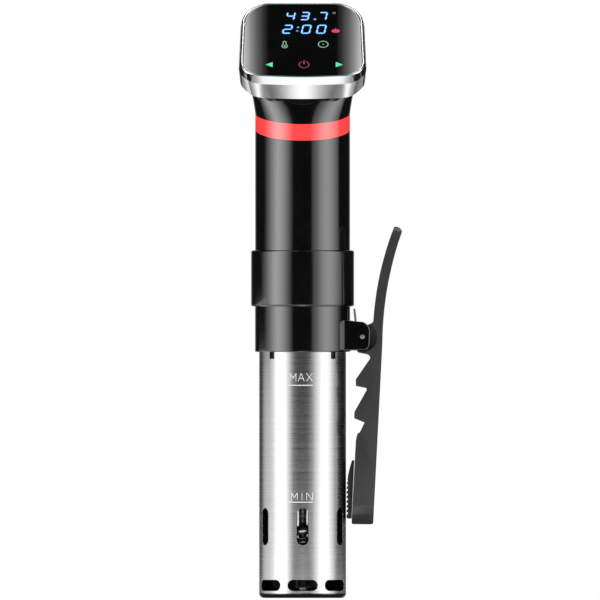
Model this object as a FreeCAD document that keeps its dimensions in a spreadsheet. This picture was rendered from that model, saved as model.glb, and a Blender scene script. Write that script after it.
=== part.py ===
import FreeCAD, Part

# Immersion circulator with a pot clamp, as a parametric FreeCAD document.
# Millimetres. +Z is up along the steel sleeve's axis, the origin is the centre of the sleeve's flat
# bottom, the user's side (display, front) faces -Y and the pot clamp is on +X.

import math
import os
import re

import Sketcher

os.makedirs("parts", exist_ok=True)
doc = FreeCAD.newDocument("Circulator")

# ---------------------------------------------------------------- driving dimensions

DIMENSIONS = {
    # steel sleeve
    "sleeve_radius": 28.0,
    "sleeve_wall": 0.8,
    "sleeve_corner": 3.0,
    "sleeve_top": 171.0,
    "window_half_width": 3.8,
    "window_low": 34.0,
    "window_high": 58.0,
    "intake_half_width": 9.7,
    "rear_intake_half_width": 2.2,
    "intake_half_height": 3.6,
    "intake_low": 4.5,
    "intake_high": 11.7,
    "ribbon_width": 3.4,
    "ports_around": 6,
    # bayonet between the sleeve and the bulkhead
    "bayonet_count": 4,
    "bayonet_pin_radius": 1.7,
    "bayonet_pin_z": 160.9,
    "bayonet_turn": 18.0,
    "bayonet_slot_half": 2.1,
    "bayonet_notch_z": 154.2,
    # collars and handle
    "lower_collar_radius": 30.7,
    "collar_bottom": 158.7,
    "collar_split": 188.0,
    "collar_bore": 28.4,
    "web_low": 176.3,
    "web_high": 182.0,
    "grip_radius": 33.25,
    "grip_top": 224.3,
    "handle_radius": 30.6,
    "handle_wall": 2.6,
    "spigot_radius": 29.0,
    "spigot_wall": 2.6,
    # status ring, whose two faces are tilted
    "ring_low": 302.4,
    "ring_high": 312.9,
    "ring_tilt": 13.5,
    "ring_spigot": 2.5,
    # head: a slab with tapered sides, tilted about X
    "panel_tilt": 40.0,
    "panel_y": -4.0,
    "panel_z": 359.75,
    "panel_front_half": 41.2,
    "panel_back_half": 40.0,
    "panel_half_length": 39.0,
    "panel_front_corner": 16.4,
    "panel_back_corner": 21.0,
    "bevel_depth": 5.2,
    "bevel_inset": 1.9,
    "band_depth": 12.3,
    "band_inset": 1.0,
    "bezel_wall": 2.2,
    "scoop_depth": 3.4,
    "scoop_half_width": 16.0,
    "glass_gap": 0.5,
    "glass_thickness": 2.0,
    "gasket_thickness": 0.8,
    "board_thickness": 1.6,
    # pot clamp
    "pin_x": 38.6,
    "pin_z": 168.5,
    "pin_radius": 1.6,
    "pin_clearance": 0.06,
    "ear_gap_half": 10.4,
    "ear_half": 14.6,
    "lever_half": 13.6,
    "hub_half": 10.0,
    "hub_radius": 7.2,
    "ear_relief": 9.7,
    "spring_half": 4.6,
    "spring_radius": 3.3,
    "spring_wire": 0.7,
    "spring_turns": 4.5,
    "pad_half": 11.0,
    # drive
    "shaft_radius": 2.5,
    "shaft_low": 3.2,
    "shaft_high": 191.5,
    "tube_radius": 5.5,
    "tube_bore": 4.3,
    "tube_low": 27.0,
    "motor_radius": 14.8,
    "motor_low": 204.0,
    "motor_high": 246.0,
    "impeller_radius": 20.0,
    "blade_count": 6,
    # heater
    "coil_radius": 17.5,
    "heater_radius": 3.0,
    "coil_low": 32.0,
    "coil_pitch": 7.5,
    # cord inlet
    "gland_z": 262.0,
    "gland_bore": 3.9,
    "gland_body": 6.0,
    "gland_flange": 8.0,
}

sheet = doc.addObject("Spreadsheet::Sheet", "dims")
for row, (alias, size) in enumerate(DIMENSIONS.items(), start=1):
    sheet.set(f"A{row}", alias)
    sheet.set(f"B{row}", str(size))
    sheet.setAlias(f"B{row}", alias)
doc.recompute()

pieces = []


def bound(expression):
    """The expression with each alias written as the sheet's cell."""
    return re.sub(r"[a-z]\w*", lambda m: f"dims.{m.group()}" if m.group() in DIMENSIONS else m.group(),
                  str(expression))


def number(expression):
    """The expression's value now."""
    return float(sheet.evalExpression(bound(expression)))


# ---------------------------------------------------------------- sketch and feature helpers


def new_body(label):
    """A PartDesign body that becomes one sub-part."""
    owner = doc.addObject("PartDesign::Body", label)
    owner.Label = label
    pieces.append(owner)
    return owner


def origin_feature(owner, role):
    return next(f for f in owner.Origin.OriginFeatures if f.Role == role)


def new_sketch(owner, plane, lift="0", turn=0.0):
    """A sketch on an origin plane, lifted along its normal or turned about its vertical axis."""
    sketch = owner.newObject("Sketcher::SketchObject", owner.Name + "_sketch")
    sketch.AttachmentSupport = [(origin_feature(owner, plane + "_Plane"), "")]
    sketch.MapMode = "FlatFace"
    if turn:
        sketch.AttachmentOffset = FreeCAD.Placement(
            FreeCAD.Vector(), FreeCAD.Rotation(FreeCAD.Vector(0, 1, 0), turn))
    if str(lift) != "0":
        sketch.setExpression(".AttachmentOffset.Base.z", bound(lift))
    return sketch


def fix(sketch, kind, *where):
    """Adds a dimension whose value is the last item, an expression."""
    *geometry, expression = where
    index = sketch.addConstraint(Sketcher.Constraint(kind, *geometry, number(expression)))
    sketch.setExpression(f"Constraints[{index}]", bound(expression))


def fix_point(sketch, geometry, vertex, x, y):
    fix(sketch, "DistanceX", -1, 1, geometry, vertex, x)
    fix(sketch, "DistanceY", -1, 1, geometry, vertex, y)


def polygon(sketch, points):
    """A closed outline through points, each a pair of expressions.

    A third item is the radius of the arc that arrives there: positive with its centre on the left.
    """
    first = sketch.GeometryCount
    corners = [FreeCAD.Vector(number(p[0]), number(p[1]), 0) for p in points]
    count = len(corners)
    arriving = points[1:] + points[:1]
    radii = [point[2] if len(point) > 2 else None for point in arriving]
    for k, radius in enumerate(radii):
        start, end = corners[k], corners[(k + 1) % count]
        if radius is None:
            sketch.addGeometry(Part.LineSegment(start, end), False)
        else:
            sketch.addGeometry(Part.Arc(start, arc_middle(start, end, number(radius)), end), False)
    ends = []
    for k, radius in enumerate(radii):
        # an arc is stored counter-clockwise, so one with its centre on the right is stored end to start
        ends.append((2, 1) if radius is not None and number(radius) < 0 else (1, 2))
    for k in range(count):
        following = (k + 1) % count
        sketch.addConstraint(
            Sketcher.Constraint("Coincident", first + k, ends[k][1], first + following, ends[following][0]))
    for k, point in enumerate(points):
        fix_point(sketch, first + k, ends[k][0], point[0], point[1])
    for k, radius in enumerate(radii):
        if radius is not None:
            fix(sketch, "Radius", first + k, f"abs({radius})")
    return sketch


def arc_middle(start, end, radius):
    """The middle of an arc between two points whose centre is on the left where radius is positive."""
    chord = end - start
    half = chord.Length / 2
    sagitta = abs(radius) - math.sqrt(radius * radius - half * half)
    right = FreeCAD.Vector(chord.y, -chord.x, 0).normalize()
    return (start + end) * 0.5 + right * math.copysign(sagitta, radius)


def box_outline(sketch, x_low, x_high, y_low, y_high):
    return polygon(sketch, [(x_low, y_low), (x_high, y_low), (x_high, y_high), (x_low, y_high)])


def circle(sketch, x, y, radius):
    index = sketch.addGeometry(
        Part.Circle(FreeCAD.Vector(number(x), number(y), 0), FreeCAD.Vector(0, 0, 1), number(radius)),
        False)
    fix_point(sketch, index, 3, x, y)
    fix(sketch, "Radius", index, radius)
    return sketch


def tangent_angles(corners):
    """For each round corner (x, y, radius), the angle where the tangent line to the next one leaves it."""
    angles = []
    for (x1, y1, r1), (x2, y2, r2) in zip(corners, corners[1:] + corners[:1]):
        span = math.hypot(x2 - x1, y2 - y1)
        angles.append(math.atan2(y2 - y1, x2 - x1) - math.acos((r1 - r2) / span))
    return angles


def rim_point(corner, angle, level=0.0):
    x, y, radius = corner
    return FreeCAD.Vector(x + radius * math.cos(angle), y + radius * math.sin(angle), level)


def rounded(sketch, corners):
    """A closed outline of arcs joined by tangent lines, counter-clockwise; corners are (x, y, radius)."""
    first = sketch.GeometryCount
    count = len(corners)
    rounds = [(number(x), number(y), number(r)) for x, y, r in corners]
    angles = tangent_angles(rounds)
    for k, corner in enumerate(rounds):
        enter, leave = angles[k - 1], angles[k]
        whole = Part.Circle(FreeCAD.Vector(corner[0], corner[1], 0), FreeCAD.Vector(0, 0, 1), corner[2])
        sketch.addGeometry(Part.ArcOfCircle(whole, enter, leave), False)
        following = rounds[(k + 1) % count]
        sketch.addGeometry(Part.LineSegment(rim_point(corner, leave), rim_point(following, leave)), False)
    for k, (x, y, r) in enumerate(corners):
        arc = first + 2 * k
        following = first + (2 * k + 2) % (2 * count)
        sketch.addConstraint(Sketcher.Constraint("Tangent", arc, 2, arc + 1, 1))
        sketch.addConstraint(Sketcher.Constraint("Tangent", arc + 1, 2, following, 1))
        fix_point(sketch, arc, 3, x, y)
        fix(sketch, "Radius", arc, r)
    return sketch


def rounded_box(sketch, x_low, x_high, y_low, y_high, radius):
    """A rectangle with equal round corners."""
    return rounded(sketch, [
        (f"({x_high}) - ({radius})", f"({y_high}) - ({radius})", radius),
        (f"({x_low}) + ({radius})", f"({y_high}) - ({radius})", radius),
        (f"({x_low}) + ({radius})", f"({y_low}) + ({radius})", radius),
        (f"({x_high}) - ({radius})", f"({y_low}) + ({radius})", radius),
    ])


def revolve(owner, points, kind="Revolution", axis="V_Axis", plane="XZ"):
    """Turns an outline about the sketch's axis, adding (Revolution) or cutting (Groove)."""
    sketch = polygon(new_sketch(owner, plane), points)
    feature = owner.newObject(f"PartDesign::{kind}", f"{owner.Name}_{kind}")
    feature.Profile = sketch
    feature.ReferenceAxis = (sketch, [axis])
    feature.Angle = 360
    return feature


def tube(owner, outer, inner, low, high, kind="Revolution"):
    return revolve(owner, [(inner, low), (outer, low), (outer, high), (inner, high)], kind)


def pad(owner, sketch, length, symmetric=False, backwards=False, taper=None):
    feature = owner.newObject("PartDesign::Pad", f"{owner.Name}_Pad")
    feature.Profile = sketch
    feature.SideType = "Symmetric" if symmetric else "One side"
    feature.Reversed = backwards
    feature.setExpression("Length", bound(length))
    if taper is not None:
        feature.setExpression("TaperAngle", bound(taper))
    return feature


def pocket(owner, sketch, length=None, symmetric=False, backwards=False):
    """Cuts away from the sketch's normal, through everything where no length is given."""
    feature = owner.newObject("PartDesign::Pocket", f"{owner.Name}_Pocket")
    feature.Profile = sketch
    feature.SideType = "Symmetric" if symmetric else "One side"
    feature.Reversed = backwards
    if length is None:
        feature.Type = "ThroughAll"
    else:
        feature.setExpression("Length", bound(length))
    return feature


def around(owner, feature, count, role="Z_Axis"):
    """Repeats a feature evenly about an origin axis."""
    pattern = owner.newObject("PartDesign::PolarPattern", f"{owner.Name}_Polar")
    pattern.Originals = [feature]
    pattern.Axis = (origin_feature(owner, role), [""])
    pattern.Angle = 360
    pattern.setExpression("Occurrences", bound(count))
    owner.Tip = pattern
    return pattern


def edges_where(owner, test):
    doc.recompute()
    return [f"Edge{k}" for k, edge in enumerate(owner.Tip.Shape.Edges, start=1) if test(edge)]


def soften(owner, radius, test, kind="Fillet"):
    """Rounds or bevels the edges that pass the test."""
    names = edges_where(owner, test)
    base = owner.Tip
    feature = owner.newObject(f"PartDesign::{kind}", f"{owner.Name}_{kind}")
    feature.Base = (base, names)
    feature.setExpression("Radius" if kind == "Fillet" else "Size", bound(radius))
    return feature


def ring_edge(radius, level, slack=0.01):
    """Tests for a whole circle of a radius about Z at a height."""
    def test(edge):
        if not isinstance(edge.Curve, Part.Circle) or len(edge.Vertexes) != 1:
            return False
        return (abs(edge.Curve.Radius - number(radius)) < slack
                and abs(edge.Curve.Center.z - number(level)) < slack)
    return test


def tilt_about_x(owner, angle, base_y, base_z):
    """Stands a sub-part, drawn flat, in its tilted place."""
    owner.Placement = FreeCAD.Placement(
        FreeCAD.Vector(0, number(base_y), number(base_z)),
        FreeCAD.Rotation(FreeCAD.Vector(1, 0, 0), number(angle)))
    owner.setExpression(".Placement.Base.y", bound(base_y))
    owner.setExpression(".Placement.Base.z", bound(base_z))
    owner.setExpression(".Placement.Rotation.Angle", bound(angle))


def in_head(label):
    """A body drawn in the panel's own frame: X across, Y up the panel, Z out of the glass."""
    owner = new_body(label)
    tilt_about_x(owner, "panel_tilt", "panel_y", "panel_z")
    return owner


def panel_outline(inset):
    """The head's rounded outline, drawn in by inset from its widest line."""
    front_x = "panel_front_half - panel_front_corner"
    back_x = "panel_back_half - panel_back_corner"
    front_y = "-(panel_half_length - panel_front_corner)"
    back_y = "panel_half_length - panel_back_corner"
    front_r = f"panel_front_corner - ({inset})"
    back_r = f"panel_back_corner - ({inset})"
    return [(back_x, back_y, back_r), (f"-({back_x})", back_y, back_r),
            (f"-({front_x})", front_y, front_r), (front_x, front_y, front_r)]


# ---------------------------------------------------------------- steel sleeve


# how far round from the back each window and the intake slot under it are, and half that slot's width
SLEEVE_PORTS = (
    (180.0, 180.0, "intake_half_width"), (120.0, 129.0, "intake_half_width"),
    (240.0, 231.0, "intake_half_width"), (25.4, 25.4, "rear_intake_half_width"),
    (334.6, 334.6, "rear_intake_half_width"))


def make_steel_sleeve():
    owner = new_body("steel_sleeve")
    inner = "sleeve_radius - sleeve_wall"
    revolve(owner, [("0", "0"), ("sleeve_radius", "0"), ("sleeve_radius", "sleeve_top"),
                    (inner, "sleeve_top"), (inner, "sleeve_wall"), ("0", "sleeve_wall")])
    soften(owner, "sleeve_corner", ring_edge("sleeve_radius", "0"))
    soften(owner, "sleeve_corner - sleeve_wall", ring_edge(inner, "sleeve_wall"))
    for window_turn, intake_turn, intake_half in SLEEVE_PORTS:
        window = rounded_box(new_sketch(owner, "XZ", turn=window_turn), "-window_half_width",
                             "window_half_width", "window_low", "window_high", "window_half_width - 0.1")
        pocket(owner, window)
        intake = rounded_box(new_sketch(owner, "XZ", turn=intake_turn), f"-{intake_half}", intake_half,
                             "intake_low", "intake_high", f"min(intake_half_height, {intake_half}) - 0.1")
        pocket(owner, intake)
    half = "bayonet_slot_half"
    entry = "sleeve_radius * sin(bayonet_turn)"
    slot = polygon(new_sketch(owner, "XZ", turn=45.0), [
        (f"-{half}", "bayonet_notch_z"), (half, "bayonet_notch_z"),
        (half, f"bayonet_pin_z - {half}"), (f"{entry} + {half}", f"bayonet_pin_z - {half}"),
        (f"{entry} + {half}", "sleeve_top + 1"), (f"{entry} - {half}", "sleeve_top + 1"),
        (f"{entry} - {half}", f"bayonet_pin_z + {half}"), (f"-{half}", f"bayonet_pin_z + {half}")])
    around(owner, pocket(owner, slot), "bayonet_count")


# ---------------------------------------------------------------- bulkhead and what it carries

HEATER_LEGS = (("3.6", "9.9"), ("-coil_radius * sin(20)", "coil_radius * cos(20)"))
PROBE_PLACE = ("-6.5", "-18")
ELECTRODE_PLACES = (("6.5", "-18"), ("0", "-19.2"))
SCREW_RING = "19"


def make_bulkhead():
    owner = new_body("bulkhead")
    revolve(owner, [("tube_radius + 0.05", "168"), ("24", "168"), ("24", "152"), ("26.6", "152"),
                    ("26.6", "153.9"), ("25.3", "153.9"), ("25.3", "156.1"), ("26.6", "156.1"),
                    ("26.6", "172"), ("28.2", "172"), ("28.2", "web_low"), ("6.5", "web_low"),
                    ("6.5", "171.2"), ("tube_radius + 0.05", "171.2")])
    holes = new_sketch(owner, "XY", lift="web_low")
    for x, y in HEATER_LEGS:
        circle(holes, x, y, "heater_radius + 0.05")
    circle(holes, *PROBE_PLACE, "2.05")
    for x, y in ELECTRODE_PLACES:
        circle(holes, x, y, "2.55")
    pocket(owner, holes, "12")
    screw = circle(new_sketch(owner, "XY", lift="web_low"), f"{SCREW_RING} * cos(45)",
                   f"{SCREW_RING} * sin(45)", "1.65")
    around(owner, pocket(owner, screw, "12"), "4")
    pin = circle(new_sketch(owner, "XZ", turn=45.0), "0", "bayonet_pin_z", "bayonet_pin_radius + 0.02")
    around(owner, pocket(owner, pin), "bayonet_count")


def make_bayonet_pins():
    owner = new_body("bayonet_pins")
    pin = circle(new_sketch(owner, "XZ", turn=45.0), "0", "bayonet_pin_z", "bayonet_pin_radius")
    pad(owner, pin, "27.9", backwards=True)
    around(owner, owner.Tip, "bayonet_count")
    tube(owner, "23.2", "0", "bayonet_pin_z - 5", "bayonet_pin_z + 5", "Groove")


def make_bulkhead_screws():
    owner = new_body("bulkhead_screws")
    x, y = f"{SCREW_RING} * cos(45)", f"{SCREW_RING} * sin(45)"
    head = pad(owner, circle(new_sketch(owner, "XY", lift="165.6"), x, y, "2.8"), "2.4")
    around(owner, head, "4")
    shank = pad(owner, circle(new_sketch(owner, "XY", lift="166"), x, y, "1.5"), "15.5")
    around(owner, shank, "4")
    drive = pocket(owner, rounded_box(new_sketch(owner, "XY", lift="165.6"), f"{x} - 1.6", f"{x} + 1.6",
                                      f"{y} - 0.4", f"{y} + 0.4", "0.3"), "1", backwards=True)
    around(owner, drive, "4")


def make_sleeve_seal():
    owner = doc.addObject("Part::Torus", "sleeve_seal")
    owner.Label = "sleeve_seal"
    owner.setExpression("Radius1", bound("sleeve_radius - 1.85"))
    owner.setExpression("Radius2", "0.85")
    owner.Placement.Base.z = 155.0
    pieces.append(owner)


def make_shaft_tube():
    tube(new_body("shaft_tube"), "tube_radius", "tube_bore", "tube_low", "171")


def make_shaft_bushing():
    owner = new_body("shaft_bushing")
    revolve(owner, [("shaft_radius + 0.06", "tube_low - 1.2"), ("tube_radius", "tube_low - 1.2"),
                    ("tube_radius", "tube_low"), ("tube_bore", "tube_low"),
                    ("tube_bore", "tube_low + 9"), ("shaft_radius + 0.06", "tube_low + 9")])


def make_shaft_seal():
    owner = new_body("shaft_seal")
    revolve(owner, [("shaft_radius + 0.05", "174.6"), ("3.4", "173.4"), ("3.4", "171.3"), ("6.45", "171.3"),
                    ("6.45", "176.1"), ("5.6", "176.1"), ("5.6", "172.4"), ("4.2", "172.4"),
                    ("4.2", "174.2"), ("shaft_radius + 0.5", "175.6"), ("shaft_radius + 0.05", "175.6")])


def make_shaft_bearing():
    owner = new_body("shaft_bearing")
    revolve(owner, [("shaft_radius + 0.03", "176.8"), ("5.5", "176.8"), ("5.5", "181.8"),
                    ("shaft_radius + 0.03", "181.8")])
    for low, high in (("176.7", "177.1"), ("181.5", "181.9")):
        tube(owner, "4.7", "3.5", low, high, "Groove")


def make_temperature_probe():
    owner = new_body("temperature_probe")
    x, y = PROBE_PLACE
    pad(owner, circle(new_sketch(owner, "XY", lift="60"), x, y, "2"), "126")
    soften(owner, "1.6", lambda e: isinstance(e.Curve, Part.Circle) and abs(e.Curve.Center.z - 60) < 0.01)


def make_level_electrodes():
    owner = new_body("level_electrodes")
    rods = new_sketch(owner, "XY", lift="61.6")
    for x, y in ELECTRODE_PLACES:
        circle(rods, x, y, "1.25")
    pad(owner, rods, "124.4")


def make_electrode_insulators():
    owner = new_body("electrode_insulators")
    rings = new_sketch(owner, "XY", lift="160")
    for x, y in ELECTRODE_PLACES:
        circle(rings, x, y, "2.5")
        circle(rings, x, y, "1.3")
    pad(owner, rings, "25")


# ---------------------------------------------------------------- heater


def straight_tube(start, end, radius):
    """A round bar between two points, with a ball at its start that closes the corner there."""
    along = end - start
    bar = Part.makeCylinder(radius, along.Length, start, along)
    return bar.fuse(Part.makeSphere(radius * 1.04, start))


def make_heater_coil():
    radius = number("heater_radius")
    mean = number("coil_radius")
    low = number("coil_low")
    pitch = number("coil_pitch")
    start_angle = 70.0
    turns = 2.0 + 40.0 / 360.0
    spine = Part.Wire(Part.makeHelix(pitch, pitch * turns, mean).Edges)
    section = Part.Wire(Part.Circle(FreeCAD.Vector(mean, 0, 0), FreeCAD.Vector(0, 1, 0), radius).toShape())
    coil = spine.makePipeShell([section], True, True)
    coil.rotate(FreeCAD.Vector(), FreeCAD.Vector(0, 0, 1), start_angle)
    coil.translate(FreeCAD.Vector(0, 0, low))
    places = [FreeCAD.Vector(number(x), number(y), 0) for x, y in HEATER_LEGS]
    start = FreeCAD.Vector(mean * math.cos(math.radians(start_angle)),
                           mean * math.sin(math.radians(start_angle)), low)
    elbow = FreeCAD.Vector(places[0].x, places[0].y, low)
    top = FreeCAD.Vector(0, 0, 186)
    finish = FreeCAD.Vector(places[1].x, places[1].y, low + pitch * turns)
    shape = coil
    for begin, end in ((start, elbow), (elbow, places[0] + top), (finish, places[1] + top)):
        shape = shape.fuse(straight_tube(begin, end, radius))
    made = doc.addObject("Part::Feature", "heater_coil")
    made.Label = "heater_coil"
    made.Shape = shape.removeSplitter()
    pieces.append(made)


def make_heater_fittings():
    """Hexagonal compression nuts that hold the heater's legs and the probe under the bulkhead."""
    owner = new_body("heater_fittings")
    nuts = new_sketch(owner, "XY", lift="163.2")
    places = [(*HEATER_LEGS[0], "heater_radius"), (*HEATER_LEGS[1], "heater_radius"), (*PROBE_PLACE, "2")]
    for x, y, hole in places:
        across = f"({hole}) + 1.9"
        polygon(nuts, [(f"({x}) + ({across}) * cos({60 * k})", f"({y}) + ({across}) * sin({60 * k})")
                       for k in range(6)])
        circle(nuts, x, y, f"({hole}) + 0.05")
    pad(owner, nuts, "4.8")


# ---------------------------------------------------------------- drive: shaft, impeller, motor


def make_drive_shaft():
    revolve(new_body("drive_shaft"), [("0", "shaft_low"), ("1.95", "shaft_low"), ("1.95", "6.5"),
                                      ("shaft_radius", "6.5"), ("shaft_radius", "shaft_high"),
                                      ("0", "shaft_high")])


def make_impeller():
    owner = new_body("impeller")
    revolve(owner, [("shaft_radius + 0.02", "6.6"), ("6", "6.6"), ("6", "16"), ("impeller_radius", "17.4"),
                    ("impeller_radius", "18.6"), ("7.5", "18.6"), ("6", "22"), ("shaft_radius + 0.02", "22")])
    blade = polygon(new_sketch(owner, "XY", lift="7.2"), [
        ("5.2", "-1.2"), ("12", "1.2"), ("impeller_radius - 0.8", "6.0"),
        ("impeller_radius - 1.6", "7.2"), ("11.4", "2.8"), ("5.2", "0.6")])
    around(owner, pad(owner, blade, "10.6"), "blade_count")


def make_impeller_nut():
    owner = new_body("impeller_nut")
    nut = new_sketch(owner, "XY", lift="3.4")
    polygon(nut, [(f"4.05 * cos({60 * k})", f"4.05 * sin({60 * k})") for k in range(6)])
    circle(nut, "0", "0", "1.97")
    pad(owner, nut, "3.1")


def make_shaft_coupler():
    owner = new_body("shaft_coupler")
    revolve(owner, [("0", "191.6"), ("shaft_radius + 0.02", "191.6"), ("shaft_radius + 0.02", "186"),
                    ("6", "186"), ("6", "199"), ("1.62", "199"), ("1.62", "192.4"), ("0", "192.4")])
    relief = box_outline(new_sketch(owner, "XZ"), "2.9", "7", "191.5", "192.5")
    around(owner, pocket(owner, relief, "0.8", symmetric=True), "12")


def make_motor_housing():
    owner = new_body("motor_housing")
    inner = "motor_radius - 1.2"
    revolve(owner, [("1.75", "motor_low"), ("motor_radius", "motor_low"), ("motor_radius", "motor_high"),
                    ("1.75", "motor_high"), ("1.75", "motor_high - 1.5"), (inner, "motor_high - 1.5"),
                    (inner, "motor_low + 1.5"), ("1.75", "motor_low + 1.5")])
    vent = rounded_box(new_sketch(owner, "XZ"), "-1.6", "1.6", "motor_high - 12", "motor_high - 5", "1.5")
    around(owner, pocket(owner, vent), "ports_around")


def make_motor_magnets():
    owner = new_body("motor_magnets")
    tube(owner, "13.5", "12", "motor_low + 6", "motor_high - 14")
    split = box_outline(new_sketch(owner, "XY", lift="motor_high"), "-20", "20", "-1.5", "1.5")
    pocket(owner, split)


def make_motor_rotor():
    owner = new_body("motor_rotor")
    revolve(owner, [("0", "192.6"), ("1.6", "192.6"), ("1.6", "motor_low + 7"), ("11.4", "motor_low + 7"),
                    ("11.4", "motor_high - 15"), ("5.5", "motor_high - 13"), ("5.5", "motor_high - 6"),
                    ("1.6", "motor_high - 6"), ("1.6", "257"), ("0", "257")])
    slot = box_outline(new_sketch(owner, "XY", lift="motor_high"), "8", "12", "-0.8", "0.8")
    around(owner, pocket(owner, slot), "9")


def make_cooling_fan():
    owner = new_body("cooling_fan")
    tube(owner, "4.5", "1.62", "249", "256")
    blade = polygon(new_sketch(owner, "XY", lift="249.5"), [
        ("4", "-0.6"), ("13.6", "1.6"), ("13.2", "3.2"), ("4", "0.9")])
    around(owner, pad(owner, blade, "6"), "7")


def make_motor_bracket():
    owner = new_body("motor_bracket")
    tube(owner, "25.6", "7.5", "200.6", "motor_low")
    post = circle(new_sketch(owner, "XY", lift="web_high"), "0", "22", "2.6")
    around(owner, pad(owner, post, "19"), "3")
    screw = circle(new_sketch(owner, "XY", lift="motor_low"), "0", "10.5", "1.3")
    around(owner, pocket(owner, screw), "2")


def make_motor_screws():
    owner = new_body("motor_screws")
    head = circle(new_sketch(owner, "XY", lift="198.6"), "0", "10.5", "2.3")
    around(owner, pad(owner, head, "2"), "2")
    shank = circle(new_sketch(owner, "XY", lift="198.6"), "0", "10.5", "1.2")
    around(owner, pad(owner, shank, "5.4"), "2")


# ---------------------------------------------------------------- collars and handle


def make_lower_collar():
    owner = new_body("lower_collar")
    revolve(owner, [("0", "collar_bottom"), ("lower_collar_radius", "collar_bottom"),
                    ("lower_collar_radius", "collar_split"), ("0", "collar_split")])
    soften(owner, "0.6", ring_edge("lower_collar_radius", "collar_bottom"))
    ear = rounded(new_sketch(owner, "XZ"), [
        ("pin_x - 1.6", "pin_z + 3.2", "6.6"), ("12", "pin_z + 11", "1.6"),
        ("12", "collar_bottom + 2", "1.6"), ("pin_x + 0.8", "collar_bottom + 4.9", "3.8")])
    pad(owner, ear, "ear_half * 2", symmetric=True)
    soften(owner, "0.8", lambda e: abs(abs(e.CenterOfMass.y) - number("ear_half")) < 0.01
           and e.BoundBox.YLength < 0.01 and e.BoundBox.XMax > 31)
    revolve(owner, [("0", "collar_bottom - 1"), ("collar_bore", "collar_bottom - 1"),
                    ("collar_bore", "web_low"), ("0", "web_low")], "Groove")
    revolve(owner, [("0", "web_low - 1"), ("5.5", "web_low - 1"), ("5.5", "web_high"), ("27.5", "web_high"),
                    ("27.5", "collar_split + 1"), ("0", "collar_split + 1")], "Groove")
    gap = box_outline(new_sketch(owner, "XZ"), "lower_collar_radius + 0.2", "pin_x + 12",
                      "collar_bottom - 1", "collar_split")
    pocket(owner, gap, "ear_gap_half * 2", symmetric=True)
    bore = circle(new_sketch(owner, "XZ"), "pin_x", "pin_z", "pin_radius")
    pocket(owner, bore, "60", symmetric=True)
    for face, backwards in (("ear_half", True), ("-ear_half", False)):
        sink = circle(new_sketch(owner, "XZ", lift=face), "pin_x", "pin_z", "2.5")
        pocket(owner, sink, "0.9", backwards=backwards)
    holes = new_sketch(owner, "XY", lift="web_high")
    for x, y in HEATER_LEGS:
        circle(holes, x, y, "heater_radius + 0.05")
    circle(holes, *PROBE_PLACE, "2.05")
    for x, y in ELECTRODE_PLACES:
        circle(holes, x, y, "2.55")
    pocket(owner, holes)
    screw = circle(new_sketch(owner, "XY", lift="web_high"), f"{SCREW_RING} * cos(45)",
                   f"{SCREW_RING} * sin(45)", "1.5")
    around(owner, pocket(owner, screw), "4")


def make_grip_collar():
    owner = new_body("grip_collar")
    tube(owner, "grip_radius", "spigot_radius + 0.1", "collar_split", "grip_top")
    for level in ("collar_split", "grip_top"):
        soften(owner, "0.9", ring_edge("grip_radius", level))


def make_handle_shell():
    owner = new_body("handle_shell")
    bore = "spigot_radius - spigot_wall"
    inner = "handle_radius - handle_wall"
    revolve(owner, [(bore, "collar_split"), ("spigot_radius", "collar_split"), ("spigot_radius", "grip_top"),
                    ("handle_radius", "grip_top"), ("handle_radius", "ring_low + 20"),
                    (inner, "ring_low + 20"), (inner, "grip_top + 2"), (bore, "grip_top + 2")])
    reach = "40"
    rise = f"{reach} * tan(ring_tilt)"
    top = polygon(new_sketch(owner, "YZ"), [
        (f"-{reach}", f"ring_low - {rise}"), (reach, f"ring_low + {rise}"),
        (reach, "ring_low + 60"), (f"-{reach}", "ring_low + 60")])
    pocket(owner, top, "100", symmetric=True)
    recess = circle(new_sketch(owner, "XZ", lift="-(handle_radius - 1.2)"), "0", "gland_z",
                    "gland_flange + 0.1")
    pocket(owner, recess)
    hole = circle(new_sketch(owner, "XZ", lift="-20"), "0", "gland_z", "gland_body + 0.05")
    pocket(owner, hole)


def make_cord_gland():
    owner = new_body("cord_gland")
    seat = "handle_radius - 1.2"
    body = new_sketch(owner, "XZ", lift=f"-({seat})")
    circle(body, "0", "gland_z", "gland_flange")
    circle(body, "0", "gland_z", "gland_bore")
    pad(owner, body, "3.6", backwards=True)
    soften(owner, "1", lambda e: isinstance(e.Curve, Part.Circle)
           and abs(e.Curve.Radius - number("gland_flange")) < 0.01
           and e.Curve.Center.y > number(seat) + 1)
    neck = new_sketch(owner, "XZ", lift=f"-({seat})")
    circle(neck, "0", "gland_z", "gland_body")
    circle(neck, "0", "gland_z", "gland_bore")
    pad(owner, neck, "3")
    barb = new_sketch(owner, "XZ", lift="-(handle_radius - handle_wall - 1)")
    circle(barb, "0", "gland_z", "gland_body + 0.8")
    circle(barb, "0", "gland_z", "gland_bore")
    pad(owner, barb, "1.4")


# ---------------------------------------------------------------- electronics in the handle


def make_main_board():
    owner = new_body("main_board")
    face = rounded_box(new_sketch(owner, "XZ", lift="-16.2"), "-19.5", "19.5", "207", "291", "1.5")
    for x in ("-15", "15"):
        for z in ("211", "287"):
            circle(face, x, z, "1.6")
    pad(owner, face, "board_thickness", backwards=True)


def make_board_carrier():
    owner = new_body("board_carrier")
    face = rounded_box(new_sketch(owner, "XZ", lift="-18.4"), "-17", "17", "motor_low", "293", "2")
    for low, high in (("214", "238"), ("243", "254"), ("270", "284")):
        box_outline(face, "-12", "12", low, high)
    pad(owner, face, "1.8", backwards=True)
    studs = new_sketch(owner, "XZ", lift="-17.8")
    for x in ("-15", "15"):
        for z in ("211", "287"):
            circle(studs, x, z, "2.2")
    pad(owner, studs, "0.8", backwards=True)


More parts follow.
